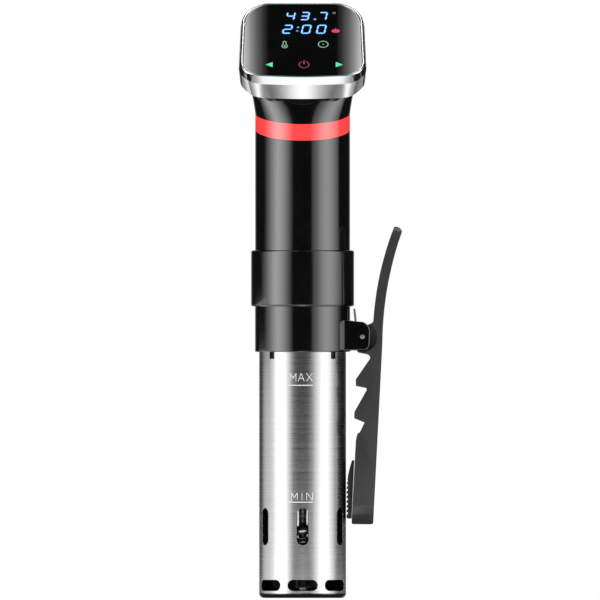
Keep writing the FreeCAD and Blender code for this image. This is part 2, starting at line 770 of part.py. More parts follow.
def make_board_block(label, x_low, x_high, z_low, z_high, depth, corner="0.8"):
    """A component standing on the main board's front face."""
    owner = new_body(label)
    outline = rounded_box(new_sketch(owner, "XZ", lift="-16.2"), x_low, x_high, z_low, z_high, corner)
    pad(owner, outline, depth)
    return owner


def make_power_transformer():
    owner = make_board_block("power_transformer", "-18", "3", "262", "279", "14")
    window = rounded_box(new_sketch(owner, "XZ", lift="-2"), "-14.5", "-0.5", "259", "282", "0.5")
    pad(owner, window, "12", backwards=True)


def make_heater_relay():
    make_board_block("heater_relay", "-18", "-2", "282", "290.5", "12")


def make_terminal_block():
    owner = make_board_block("terminal_block", "3.5", "18.5", "281", "290.5", "9")
    slots = new_sketch(owner, "XZ", lift="-7.2")
    for x in ("6.5", "11", "15.5"):
        circle(slots, x, "285.7", "1.5")
    pocket(owner, slots, "3")


def make_filter_capacitor():
    owner = doc.addObject("Part::Cylinder", "filter_capacitor")
    owner.Label = "filter_capacitor"
    owner.Radius = 6.0
    owner.Height = 18.0
    owner.Placement.Base = FreeCAD.Vector(11.5, 10.1, 261.0)
    pieces.append(owner)


def make_ribbon_cable():
    """The flat cable from the main board up to the display board."""
    owner = new_body("ribbon_cable")
    tilt = "panel_tilt"
    end_y = f"panel_y + 8 * cos({tilt}) + 6.2 * sin({tilt})"
    end_z = f"panel_z + 8 * sin({tilt}) - 6.2 * cos({tilt})"
    strip = polygon(new_sketch(owner, "YZ"), [
        ("15.2", "284"), ("16", "284"), ("16", "300"), (f"{end_y} + 0.8", "340"),
        (f"{end_y} + 0.8", f"{end_z} + 0.6"), (end_y, end_z), (end_y, "340.4"), ("15.2", "300.4")])
    pad(owner, strip, "ribbon_width", symmetric=True)


# ---------------------------------------------------------------- status ring and neck


def tilted_cut(owner, low, high):
    """Cuts away everything below and above two planes tilted as the ring, in the YZ view."""
    reach = "45"
    rise = f"{reach} * tan(ring_tilt)"
    below = polygon(new_sketch(owner, "YZ"), [
        (f"-{reach}", f"{low} - {rise}"), (f"-{reach}", f"{low} - 80"), (reach, f"{low} - 80"),
        (reach, f"{low} + {rise}")])
    pocket(owner, below, "100", symmetric=True)
    above = polygon(new_sketch(owner, "YZ"), [
        (f"-{reach}", f"{high} - {rise}"), (reach, f"{high} + {rise}"), (reach, f"{high} + 80"),
        (f"-{reach}", f"{high} + 80")])
    pocket(owner, above, "100", symmetric=True)


def make_light_ring():
    """A translucent band whose inner spigot plugs into the handle below and the neck above."""
    owner = new_body("light_ring")
    bore = "handle_radius - handle_wall - 2.2"
    tube(owner, "handle_radius", bore, "ring_low - 30", "ring_high + 30")
    tilted_cut(owner, "ring_low", "ring_high")
    tube(owner, "handle_radius - handle_wall - 0.1", bore, "ring_low - 30", "ring_high + 30")
    tilted_cut(owner, "ring_low - ring_spigot", "ring_high + ring_spigot")


def make_ring_board():
    owner = new_body("ring_board")
    tilt_about_x(owner, "ring_tilt", "0", "ring_low + 1")
    plate = new_sketch(owner, "XY")
    circle(plate, "0", "0", "25.2")
    circle(plate, "0", "0", "19")
    pad(owner, plate, "1.2")


def make_ring_leds():
    owner = new_body("ring_leds")
    tilt_about_x(owner, "ring_tilt", "0", "ring_low + 1")
    led = box_outline(new_sketch(owner, "XY", lift="1.2"), "21.6", "24.8", "-1.4", "1.4")
    around(owner, pad(owner, led, "1.4"), "12")


def ellipse_wire(radius, level):
    """The section of an upright cylinder by the ring's tilted plane, in eight arcs."""
    tilt = math.radians(number("ring_tilt"))
    splits = [20, 80, 100, 160, 200, 260, 280, 340]
    curve = Part.Ellipse(FreeCAD.Vector(), radius / math.cos(tilt), radius)
    edges = []
    for start, end in zip(splits, splits[1:] + [splits[0] + 360]):
        edges.append(curve.toShape(math.radians(start - 90), math.radians(end - 90)))
    wire = Part.Wire(edges)
    wire.Placement = FreeCAD.Placement(
        FreeCAD.Vector(0, 0, level),
        FreeCAD.Rotation(FreeCAD.Vector(1, 0, 0), math.degrees(tilt))).multiply(
            FreeCAD.Placement(FreeCAD.Vector(), FreeCAD.Rotation(FreeCAD.Vector(0, 0, 1), 90)))
    return wire


def panel_wire(inset, depth):
    """The head's outline, drawn in by inset, on a plane below the glass; eight edges from the same side."""
    corners = [(number(x), number(y), number(r)) for x, y, r in panel_outline(inset)]
    angles = tangent_angles(corners)
    edges = []
    for k, corner in enumerate(corners):
        enter, leave = angles[k - 1], angles[k]
        while leave < enter:
            leave += 2 * math.pi
        middle = (enter + leave) / 2
        start, top, end = (rim_point(corner, angle, -depth) for angle in (enter, middle, leave))
        edges.append(Part.Arc(start, top, end).toShape())
        following = corners[(k + 1) % len(corners)]
        edges.append(Part.LineSegment(end, rim_point(following, leave, -depth)).toShape())
    wire = Part.Wire(edges)
    wire.Placement = FreeCAD.Placement(
        FreeCAD.Vector(0, number("panel_y"), number("panel_z")),
        FreeCAD.Rotation(FreeCAD.Vector(1, 0, 0), number("panel_tilt")))
    return wire


def make_neck_housing():
    """The flared shell between the round ring and the squarish head, with a scoop under its front lip."""
    depth = number("bevel_depth + band_depth")
    radius = number("handle_radius")
    wall = number("handle_wall")
    level = number("ring_high")
    outer_rims = [ellipse_wire(radius, level), panel_wire("band_inset + 0.1", depth)]
    inner_rims = [ellipse_wire(radius - wall - 0.3, level), panel_wire("band_inset + 3.8", depth)]
    outer = Part.makeLoft(outer_rims, True, True)
    inner = Part.makeLoft(inner_rims, True, True)
    shell = outer.cut(inner).cut(ring_socket())
    front_low = "panel_z - panel_half_length * sin(panel_tilt)"
    lip = number(f"{front_low} - (bevel_depth + band_depth) * cos(panel_tilt)")
    scoop_depth = number("scoop_depth")
    scoop_half = number("scoop_half_width")
    scoop_radius = (scoop_half ** 2 + scoop_depth ** 2) / (2 * scoop_depth)
    scoop = Part.makeCylinder(scoop_radius, 30, FreeCAD.Vector(0, -50.9, lip - scoop_depth + scoop_radius),
                              FreeCAD.Vector(0, 1, 0))
    made = doc.addObject("Part::Feature", "neck_housing")
    made.Label = "neck_housing"
    made.Shape = shell.cut(scoop)
    pieces.append(made)


def ring_socket():
    """The round space at the neck's foot that the status ring's spigot plugs into."""
    bore = number("handle_radius - handle_wall")
    height = number("ring_spigot") + 0.1
    slab = Part.makeBox(100, 100, 60 + height, FreeCAD.Vector(-50, -50, -60))
    slab.Placement = FreeCAD.Placement(
        FreeCAD.Vector(0, 0, number("ring_high")),
        FreeCAD.Rotation(FreeCAD.Vector(1, 0, 0), number("ring_tilt"))).multiply(slab.Placement)
    return Part.makeCylinder(bore, 80, FreeCAD.Vector(0, 0, number("ring_high") - 40)).common(slab)


# ---------------------------------------------------------------- head: bezel, glass, display


def make_chrome_bezel():
    owner = in_head("chrome_bezel")
    seam = "-bevel_depth"
    pad(owner, rounded(new_sketch(owner, "XY", lift=seam), panel_outline("0")), "bevel_depth",
        taper="-atan(bevel_inset / bevel_depth)")
    pad(owner, rounded(new_sketch(owner, "XY", lift=seam), panel_outline("0")), "band_depth",
        backwards=True, taper="-atan(band_inset / band_depth)")
    seat = rounded(new_sketch(owner, "XY"), panel_outline("bevel_inset + glass_gap"))
    pocket(owner, seat, "glass_thickness + gasket_thickness")
    hollow = rounded(new_sketch(owner, "XY"), panel_outline("bevel_inset + glass_gap + bezel_wall"))
    pocket(owner, hollow)


def make_touch_glass():
    owner = in_head("touch_glass")
    outline = rounded(new_sketch(owner, "XY"), panel_outline("bevel_inset + glass_gap + 0.1"))
    pad(owner, outline, "glass_thickness", backwards=True)


def make_glass_gasket():
    owner = in_head("glass_gasket")
    frame = new_sketch(owner, "XY", lift="-glass_thickness")
    rounded(frame, panel_outline("bevel_inset + glass_gap + 0.2"))
    rounded(frame, panel_outline("bevel_inset + glass_gap + bezel_wall - 0.1"))
    pad(owner, frame, "gasket_thickness", backwards=True)


BOARD_POSTS = (("-29.5", "-20"), ("29.5", "-20"), ("-25", "26"), ("25", "26"))
KEY_PLACES = (("-22.5", "-24.5"), ("0.8", "-24.5"), ("22.5", "-24.5"))
BOARD_FACE = "-4.6"


def make_display_board():
    owner = in_head("display_board")
    plate = rounded(new_sketch(owner, "XY", lift=BOARD_FACE), panel_outline("bevel_inset + bezel_wall + 2"))
    for x, y in BOARD_POSTS:
        circle(plate, x, y, "1.5")
    pad(owner, plate, "board_thickness", backwards=True)


def make_segment_display():
    owner = in_head("segment_display")
    window = rounded_box(new_sketch(owner, "XY", lift=BOARD_FACE), "-19", "21.5", "-3", "30", "1")
    pad(owner, window, "2.4")


def make_touch_springs():
    owner = in_head("touch_springs")
    rings = new_sketch(owner, "XY", lift=BOARD_FACE)
    for x, y in KEY_PLACES:
        circle(rings, x, y, "4")
        circle(rings, x, y, "3.4")
    pad(owner, rings, "2.5")


def make_buzzer():
    owner = in_head("buzzer")
    pad(owner, circle(new_sketch(owner, "XY", lift=f"{BOARD_FACE} - board_thickness"), "20", "4", "5"), "3.6",
        backwards=True)


def make_head_chassis():
    """The plate that closes the bezel from below and carries the display board on posts."""
    owner = in_head("head_chassis")
    floor = "-(bevel_depth + band_depth)"
    plate = rounded(new_sketch(owner, "XY", lift=floor), panel_outline("band_inset + bezel_wall + 1.6"))
    rounded_box(plate, "-16", "16", "-8", "20", "4")
    pad(owner, plate, "2")
    posts = new_sketch(owner, "XY", lift=f"{floor} + 1")
    for x, y in BOARD_POSTS:
        circle(posts, x, y, "3")
        circle(posts, x, y, "1")
    pad(owner, posts, f"{BOARD_FACE} - board_thickness - ({floor}) - 1")


def make_head_screws():
    owner = in_head("head_screws")
    heads = new_sketch(owner, "XY", lift=BOARD_FACE)
    shanks = new_sketch(owner, "XY", lift=f"{BOARD_FACE} + 0.5")
    for x, y in BOARD_POSTS:
        circle(heads, x, y, "2.4")
        circle(shanks, x, y, "0.95")
    pad(owner, heads, "1.4")
    pad(owner, shanks, "8", backwards=True)


# ---------------------------------------------------------------- pot clamp


def from_pin(points):
    """Points given from the hinge pin's axis, as absolute expressions."""
    return [(f"pin_x + ({x})", f"pin_z + ({z})", *arc) for x, z, *arc in points]


LEVER_OUTLINE = [
    # back of the arm, from its tip down to the foot
    (25.6, 67.9, -4.0), (12.9, -4.0, 220), (7.0, -119.6), (5.6, -121.0, -1.4), (-5.8, -120.9),
    (-7.0, -119.7, -1.2),
    # inner side of the jaw, with its two teeth, up to the hinge
    (-5.1, -79.5), (-4.3, -67.0), (-3.4, -62.8), (-1.6, -61.4), (1.3, -55.3), (-5.4, -52.6), (-5.2, -48.5),
    (2.7, -34.4), (2.5, -33.1), (-4.2, -31.8), (-4.4, -27.6), (4.8, -14.2), (2.6, -11.3, 2.4),
    (-3.1, -10.1), (-5.0, -4.0), (-3.5, 3.0), (3.5, 7.9), (7.0, 10.2, 4),
    # inner side of the arm
    (20.4, 70.8, -200),
]


def make_clamp_lever():
    owner = new_body("clamp_lever")
    pad(owner, polygon(new_sketch(owner, "XZ"), from_pin(LEVER_OUTLINE)), "lever_half * 2", symmetric=True)
    cheeks = new_sketch(owner, "XZ", lift="-hub_half")
    circle(cheeks, "pin_x", "pin_z", "ear_relief")
    pocket(owner, cheeks, "8")
    cheeks = new_sketch(owner, "XZ", lift="hub_half")
    circle(cheeks, "pin_x", "pin_z", "ear_relief")
    pocket(owner, cheeks, "8", backwards=True)
    hub = circle(new_sketch(owner, "XZ"), "pin_x", "pin_z", "hub_radius")
    pad(owner, hub, "hub_half * 2", symmetric=True)
    spring_room = polygon(new_sketch(owner, "XZ"), from_pin([
        (-9, -5.4), (5.4, -5.4), (5.6, 4), (9.6, 12), (10.4, 25), (5, 27), (-9, 27)]))
    pocket(owner, spring_room, "spring_half * 2", symmetric=True)
    bore = circle(new_sketch(owner, "XZ"), "pin_x", "pin_z", "pin_radius + pin_clearance")
    pocket(owner, bore, "60", symmetric=True)
    frame = new_sketch(owner, "YZ")
    box_outline(frame, "-30", "30", "pin_z - 150", "pin_z + 100")
    rounded(frame, [
        ("lever_half - 10", "pin_z + 71.5 - 10", "10"), ("-(lever_half - 10)", "pin_z + 71.5 - 10", "10"),
        ("-(lever_half - 13)", "pin_z - 121.2 + 13", "13"), ("lever_half - 13", "pin_z - 121.2 + 13", "13")])
    pocket(owner, frame, "200", symmetric=True)


def make_clamp_pad():
    owner = new_body("clamp_pad")
    face = "sleeve_radius + 0.35"
    profile = polygon(new_sketch(owner, "XZ"), [
        ("33.35", "88.9"), ("31.9", "88.9"), (face, "66", 62), (face, "52.2"), (f"{face} + 1", "51.2", 1),
        ("31.6", "51.2")])
    pad(owner, profile, "pad_half * 2", symmetric=True)
    ribs = new_sketch(owner, "XZ")
    for k in range(10):
        level = f"{54 + 3 * k}"
        box_outline(ribs, "27.5", "29.1", level, f"{level} + 1.3")
    pocket(owner, ribs, "60", symmetric=True)


def make_clamp_pin():
    owner = new_body("clamp_pin")
    pad(owner, circle(new_sketch(owner, "XZ"), "pin_x", "pin_z", "pin_radius"), "ear_half * 2 - 0.8",
        symmetric=True)
    soften(owner, "0.35", lambda e: isinstance(e.Curve, Part.Circle), "Chamfer")


def make_hinge_washers():
    owner = new_body("hinge_washers")
    for face, backwards in (("hub_half + 0.02", False), ("-(hub_half + 0.02)", True)):
        ring = new_sketch(owner, "XZ", lift=face)
        circle(ring, "pin_x", "pin_z", "4.6")
        circle(ring, "pin_x", "pin_z", "pin_radius + 0.03")
        pad(owner, ring, "ear_gap_half - hub_half - 0.04", backwards=backwards)


def make_clamp_spring():
    """Torsion spring round the pin: one leg leans on the collar, the other pushes the arm outwards."""
    wire = number("spring_wire")
    mean = number("spring_radius")
    turns = number("spring_turns")
    pitch = 2 * wire + 0.05
    spine = Part.Wire(Part.makeHelix(pitch, pitch * turns, mean).Edges)
    section = Part.Wire(Part.Circle(FreeCAD.Vector(mean, 0, 0), FreeCAD.Vector(0, 1, 0), wire).toShape())
    coil = spine.makePipeShell([section], True, True)
    coil.rotate(FreeCAD.Vector(), FreeCAD.Vector(1, 0, 0), 90)
    pin = FreeCAD.Vector(number("pin_x"), pitch * turns / 2, number("pin_z"))
    coil.translate(pin)
    right = pin + FreeCAD.Vector(mean, 0, 0)
    left = pin + FreeCAD.Vector(-mean, -pitch * turns, 0)
    arm_end = right + FreeCAD.Vector(5.2, 0, 22)
    collar_end = left + FreeCAD.Vector(-2.2, 0, 18.2)
    hook_end = collar_end + FreeCAD.Vector(-1.5, 0, 0)
    shape = coil
    for begin, end in ((right, arm_end), (left, collar_end), (collar_end, hook_end)):
        shape = shape.fuse(straight_tube(begin, end, wire))
    made = doc.addObject("Part::Feature", "clamp_spring")
    made.Label = "clamp_spring"
    made.Shape = shape
    pieces.append(made)


# ---------------------------------------------------------------- build, check and write

for make in (
        make_steel_sleeve, make_bulkhead, make_bayonet_pins, make_bulkhead_screws, make_sleeve_seal,
        make_shaft_tube, make_shaft_bushing, make_shaft_seal, make_shaft_bearing, make_temperature_probe,
        make_level_electrodes, make_electrode_insulators, make_heater_coil, make_heater_fittings,
        make_drive_shaft, make_impeller, make_impeller_nut, make_shaft_coupler, make_motor_housing,
        make_motor_magnets, make_motor_rotor, make_cooling_fan, make_motor_bracket, make_motor_screws,
        make_lower_collar, make_grip_collar, make_handle_shell, make_cord_gland, make_main_board,
        make_board_carrier, make_power_transformer, make_heater_relay, make_terminal_block,
        make_filter_capacitor, make_ribbon_cable, make_light_ring, make_ring_board, make_ring_leds,
        make_neck_housing, make_chrome_bezel, make_touch_glass, make_glass_gasket, make_display_board,
        make_segment_display, make_touch_springs, make_buzzer, make_head_chassis, make_head_screws,
        make_clamp_lever, make_clamp_pad, make_clamp_pin, make_hinge_washers, make_clamp_spring):
    make()

doc.recompute()
faults = [f"{o.Name}: {o.State}" for o in doc.Objects if "Invalid" in o.State or "Error" in o.State]
for piece in pieces:
    if piece.Shape.isNull() or not piece.Shape.isValid():
        faults.append(f"{piece.Label}: its shape is null or not valid")
if faults:
    raise RuntimeError("\n".join(faults))

for piece in pieces:
    shape = piece.Shape
    shape.exportStep(os.path.join("parts", piece.Label + ".step"))
    size = shape.BoundBox
    print(f"{piece.Label:22s} solids {len(shape.Solids)}  volume {shape.Volume:10.1f}  "
          f"x {size.XMin:7.2f} {size.XMax:7.2f}  y {size.YMin:7.2f} {size.YMax:7.2f}  "
          f"z {size.ZMin:7.2f} {size.ZMax:7.2f}")
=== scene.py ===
"""Sous vide circulator: finished materials, fine pieces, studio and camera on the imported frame."""

import math

import bmesh
import bpy
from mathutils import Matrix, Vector


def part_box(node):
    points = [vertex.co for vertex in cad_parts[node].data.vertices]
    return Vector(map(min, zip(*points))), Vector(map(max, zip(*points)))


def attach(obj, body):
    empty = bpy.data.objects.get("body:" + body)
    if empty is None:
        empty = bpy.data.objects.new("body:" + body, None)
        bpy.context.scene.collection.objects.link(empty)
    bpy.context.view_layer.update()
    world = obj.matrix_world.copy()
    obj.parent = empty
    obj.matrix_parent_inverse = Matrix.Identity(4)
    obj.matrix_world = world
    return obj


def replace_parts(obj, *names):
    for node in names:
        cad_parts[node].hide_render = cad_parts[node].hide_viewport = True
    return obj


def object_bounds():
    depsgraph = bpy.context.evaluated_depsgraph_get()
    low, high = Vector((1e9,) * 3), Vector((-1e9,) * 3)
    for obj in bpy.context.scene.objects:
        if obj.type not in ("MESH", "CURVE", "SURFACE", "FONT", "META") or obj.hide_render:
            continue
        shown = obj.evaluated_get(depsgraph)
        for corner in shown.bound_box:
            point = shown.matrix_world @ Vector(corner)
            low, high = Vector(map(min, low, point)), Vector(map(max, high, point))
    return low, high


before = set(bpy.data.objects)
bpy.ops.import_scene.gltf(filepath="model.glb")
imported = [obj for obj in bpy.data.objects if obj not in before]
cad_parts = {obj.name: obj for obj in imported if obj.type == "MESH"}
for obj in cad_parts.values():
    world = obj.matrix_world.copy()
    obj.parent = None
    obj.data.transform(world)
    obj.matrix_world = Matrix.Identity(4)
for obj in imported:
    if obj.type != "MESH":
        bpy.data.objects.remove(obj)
cad_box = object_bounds()

MM = 0.001
PANEL_TILT = math.radians(40)


# ---------------------------------------------------------------- shader helpers


def add(tree, kind, inputs=None, **settings):
    """Adds a node, gives it its settings, and sets or links its inputs by name or number."""
    made = tree.nodes.new(kind)
    for key, value in settings.items():
        setattr(made, key, value)
    for key, value in (inputs or {}).items():
        if isinstance(value, bpy.types.NodeSocket):
            tree.links.new(value, made.inputs[key])
        else:
            made.inputs[key].default_value = value
    return made


def place(tree, stretch=(1, 1, 1)):
    """Position on the object in metres, stretched along each axis."""
    where = add(tree, "ShaderNodeTexCoord").outputs["Object"]
    return add(tree, "ShaderNodeMapping", {"Vector": where, "Scale": stretch}).outputs["Vector"]


def noise(tree, stretch, detail=3.0, roughness=0.55, distortion=0.0):
    """Noise from 0 to 1 with that many cells per metre along each axis."""
    made = add(tree, "ShaderNodeTexNoise", {"Vector": place(tree, stretch), "Scale": 1.0, "Detail": detail,
                                            "Roughness": roughness, "Distortion": distortion})
    return made.outputs["Fac"]


def spread(tree, value, low, high, start=0.3, end=0.7):
    """A value between start and end becomes one between low and high."""
    return add(tree, "ShaderNodeMapRange", {"Value": value, "From Min": start, "From Max": end,
                                            "To Min": low, "To Max": high}).outputs["Result"]


def tint(tree, value, low, high):
    """Colour that goes from low to high with a value from 0 to 1."""
    made = add(tree, "ShaderNodeMix", {0: value}, data_type="RGBA")
    made.inputs[6].default_value = (*low, 1)
    made.inputs[7].default_value = (*high, 1)
    return made.outputs[2]


def math_node(tree, operation, a, b=0.0):
    """Result of an arithmetic operation on one or two values."""
    return add(tree, "ShaderNodeMath", {0: a, 1: b}, operation=operation).outputs["Value"]


def bump(tree, height, depth, normal=None):
    """Normal from a height of 0 to 1 that stands for depth in metres."""
    inputs = {"Height": height, "Distance": depth, "Strength": 1.0}
    if normal is not None:
        inputs["Normal"] = normal
    return add(tree, "ShaderNodeBump", inputs).outputs["Normal"]


def surface(name, **sockets):
    """A new material: returns its node tree and its Principled shader, with those sockets set."""
    material = bpy.data.materials.new(name)
    material.use_nodes = True
    tree = material.node_tree
    shader = tree.nodes["Principled BSDF"]
    for key, value in sockets.items():
        socket = shader.inputs[key.replace("_", " ")]
        socket.default_value = (*value, 1) if isinstance(value, tuple) else value
    return material, tree, shader


def join(tree, output, shader, socket):
    """Feeds a node's output into the shader's named socket."""
    tree.links.new(output, shader.inputs[socket])


# ---------------------------------------------------------------- materials


def gloss_moulding():
    """Piano black moulded plastic: deep gloss, faint polish haze and a slight moulding ripple."""
    material, tree, shader = surface(
        "gloss_black_shell", IOR=1.5, Specular_IOR_Level=1.0, Coat_Weight=1.0, Coat_Roughness=0.03,
        Coat_IOR=1.7)
    haze = noise(tree, (60, 60, 60), 4)
    fine = noise(tree, (900, 900, 900), 2)
    rough = math_node(tree, "ADD", spread(tree, haze, 0.10, 0.16), spread(tree, fine, 0.0, 0.03))
    join(tree, rough, shader, "Roughness")
    join(tree, tint(tree, haze, (0.0010, 0.0010, 0.0012), (0.0022, 0.0022, 0.0026)), shader, "Base Color")
    join(tree, bump(tree, noise(tree, (140, 140, 70), 2), 0.000006), shader, "Normal")
    return material


def satin_moulding():
    """Satin black plastic of the clamp's arm, with fine spark-eroded grain."""
    material, tree, shader = surface("satin_black_arm", IOR=1.5, Specular_IOR_Level=0.8, Coat_Weight=0.35,
                                     Coat_Roughness=0.2)
    haze = noise(tree, (80, 80, 50), 4)
    grain = noise(tree, (2600, 2600, 2600), 2)
    join(tree, tint(tree, haze, (0.022, 0.022, 0.023), (0.036, 0.036, 0.038)), shader, "Base Color")
    join(tree, spread(tree, haze, 0.30, 0.40), shader, "Roughness")
    join(tree, bump(tree, grain, 0.00001), shader, "Normal")
    return material


# the sleeve's brushed colour turns to painted shade, near black, between two radii, just under its skin and
# across its foot
SKIN_INSIDE, SKIN_OUTSIDE = 0.02785, 0.02795
FOOT_INSIDE, FOOT_OUTSIDE = 0.0250, 0.0252
FOOT_LOW, FOOT_HIGH = 0.0020, 0.0024


def painted_shade_inside(tree, outside):
    """Colour of the sleeve: under its skin, its inner wall included, it is painted near black as painted
    shade.
    """
    across = add(tree, "ShaderNodeSeparateXYZ", {"Vector": place(tree)}).outputs
    x_squared = math_node(tree, "MULTIPLY", across["X"], across["X"])
    y_squared = math_node(tree, "MULTIPLY", across["Y"], across["Y"])
    radius = math_node(tree, "POWER", math_node(tree, "ADD", x_squared, y_squared), 0.5)
    skin = spread(tree, radius, 0, 1, SKIN_INSIDE, SKIN_OUTSIDE)
    bottom_edge = math_node(tree, "MULTIPLY", spread(tree, radius, 0, 1, FOOT_INSIDE, FOOT_OUTSIDE),
                            spread(tree, across["Z"], 1, 0, FOOT_LOW, FOOT_HIGH))
    outer = math_node(tree, "MAXIMUM", skin, bottom_edge)
    # painted shade: near black inside the sleeve, under its skin and above its foot
    return add(tree, "ShaderNodeMix", {0: outer, 6: (0.006, 0.006, 0.006, 1), 7: outside},
               data_type="RGBA").outputs[2]


def brushed_sleeve():
    """Stainless tube brushed round and round: level streaks in tone, gloss and relief."""
    material, tree, shader = surface("brushed_stainless_sleeve", Metallic=1.0)
    streak = noise(tree, (7, 7, 2600), 3, 0.6)
    wide = noise(tree, (4, 4, 320), 2, 0.5)
    both = math_node(tree, "ADD", math_node(tree, "MULTIPLY", streak, 0.65),
                     math_node(tree, "MULTIPLY", wide, 0.35))
    brushed = tint(tree, spread(tree, both, 0, 1), (0.62, 0.62, 0.625), (0.74, 0.74, 0.74))
    # the sleeve's inner wall gets painted shade, near black
    join(tree, painted_shade_inside(tree, brushed), shader, "Base Color")
    join(tree, spread(tree, both, 0.22, 0.32), shader, "Roughness")
    join(tree, bump(tree, streak, 0.000004), shader, "Normal")
    return material


def plain_steel():
    """Machined stainless parts, with fine turning marks and slight smudges."""
    material, tree, shader = surface("turned_stainless", Metallic=1.0)
    smudge = noise(tree, (90, 90, 90), 4)
    lines = noise(tree, (60, 60, 4000), 2)
    join(tree, tint(tree, smudge, (0.50, 0.50, 0.50), (0.68, 0.67, 0.66)), shader, "Base Color")
    join(tree, spread(tree, smudge, 0.16, 0.30), shader, "Roughness")
    join(tree, bump(tree, lines, 0.000008), shader, "Normal")
    return material


def chrome_trim():
    """Bright chrome plating with a trace of polishing haze."""
    material, tree, shader = surface("polished_chrome", Metallic=1.0)
    haze = noise(tree, (70, 70, 70), 4)
    join(tree, tint(tree, haze, (0.84, 0.85, 0.86), (0.92, 0.92, 0.92)), shader, "Base Color")
    join(tree, spread(tree, haze, 0.05, 0.10), shader, "Roughness")
    join(tree, bump(tree, noise(tree, (200, 200, 200), 2), 0.000004), shader, "Normal")
    return material


def black_glass():
    """Touch glass printed black on its back, with wiping smears in the gloss."""
    material, tree, shader = surface("black_touch_glass", IOR=1.52, Specular_IOR_Level=1.0, Coat_Weight=1.0,
                                     Coat_Roughness=0.02, Coat_IOR=1.6)
    smear = noise(tree, (40, 110, 110), 4, 0.6, 0.8)
    join(tree, tint(tree, smear, (0.0003, 0.0004, 0.0005), (0.0010, 0.0012, 0.0014)), shader, "Base Color")
    join(tree, spread(tree, smear, 0.03, 0.07), shader, "Roughness")
    return material


def red_diffuser():
    """Milky red acrylic of the status ring, glowing from the diodes behind it."""
    material, tree, shader = surface("red_light_ring", IOR=1.49, Specular_IOR_Level=1.0, Coat_Weight=1.0,
                                     Coat_Roughness=0.04, Coat_IOR=1.7, Emission_Strength=0.85)
    cloud = noise(tree, (45, 45, 45), 3)
    join(tree, tint(tree, cloud, (0.70, 0.015, 0.018), (0.82, 0.03, 0.03)), shader, "Base Color")
    join(tree, tint(tree, cloud, (0.80, 0.045, 0.045), (0.90, 0.075, 0.075)), shader, "Emission Color")
    join(tree, spread(tree, noise(tree, (500, 500, 500), 2), 0.12, 0.2), shader, "Roughness")
    return material


def black_rubber():
    """Matte rubber with dust in its grain."""
    material, tree, shader = surface("black_rubber", IOR=1.5)
    dust = noise(tree, (300, 300, 300), 4)
    join(tree, tint(tree, dust, (0.010, 0.010, 0.011), (0.028, 0.028, 0.030)), shader, "Base Color")
    join(tree, spread(tree, dust, 0.55, 0.75), shader, "Roughness")
    join(tree, bump(tree, noise(tree, (3500, 3500, 3500), 2), 0.00003), shader, "Normal")
    return material


def plain_plastic(name, dark, light, rough):
    """Matte technical plastic, a little uneven in tone and with a fine moulded grain."""
    material, tree, shader = surface(name, IOR=1.5)
    tone = noise(tree, (120, 120, 120), 4)
    join(tree, tint(tree, tone, dark, light), shader, "Base Color")
    join(tree, spread(tree, tone, rough - 0.08, rough + 0.08), shader, "Roughness")
    join(tree, bump(tree, noise(tree, (2500, 2500, 2500), 2), 0.00001), shader, "Normal")
    return material


def metal(name, dark, light, rough):
    """Bare metal with turning marks."""
    material, tree, shader = surface(name, Metallic=1.0)
    tone = noise(tree, (40, 40, 1800), 3)
    join(tree, tint(tree, tone, dark, light), shader, "Base Color")
    join(tree, spread(tree, tone, rough - 0.08, rough + 0.08), shader, "Roughness")
    join(tree, bump(tree, tone, 0.00001), shader, "Normal")
    return material


def circuit_board():
    """Green solder mask with faint copper tracks under it."""
    material, tree, shader = surface("green_circuit_board", IOR=1.5)
    tracks = add(tree, "ShaderNodeTexBrick", {"Vector": place(tree, (120, 120, 120)), "Scale": 1.0,
                                              "Mortar Size": 0.03}).outputs["Fac"]
    join(tree, tint(tree, tracks, (0.010, 0.075, 0.030), (0.030, 0.16, 0.06)), shader, "Base Color")
    join(tree, spread(tree, noise(tree, (200, 200, 200)), 0.25, 0.4), shader, "Roughness")
    return material


def glow(name, colour, strength):
    """Lit area behind the glass, slightly uneven as a moulded light guide is."""
    material, tree, shader = surface(name, Roughness=0.4)
    shader.inputs["Base Color"].default_value = (0, 0, 0, 1)
    shader.inputs["Emission Color"].default_value = (*colour, 1)
    join(tree, spread(tree, noise(tree, (900, 900, 900), 2), strength * 0.85, strength * 1.15), shader,
         "Emission Strength")
    return material


def glass_edge():
    """Ground edge of the glass, where its green tint shows."""
    material, tree, shader = surface("green_glass_edge", IOR=1.45)
    streak = noise(tree, (160, 160, 160), 3)
    join(tree, tint(tree, streak, (0.03, 0.13, 0.11), (0.10, 0.26, 0.23)), shader, "Base Color")
    join(tree, spread(tree, streak, 0.35, 0.5), shader, "Roughness")
    return material


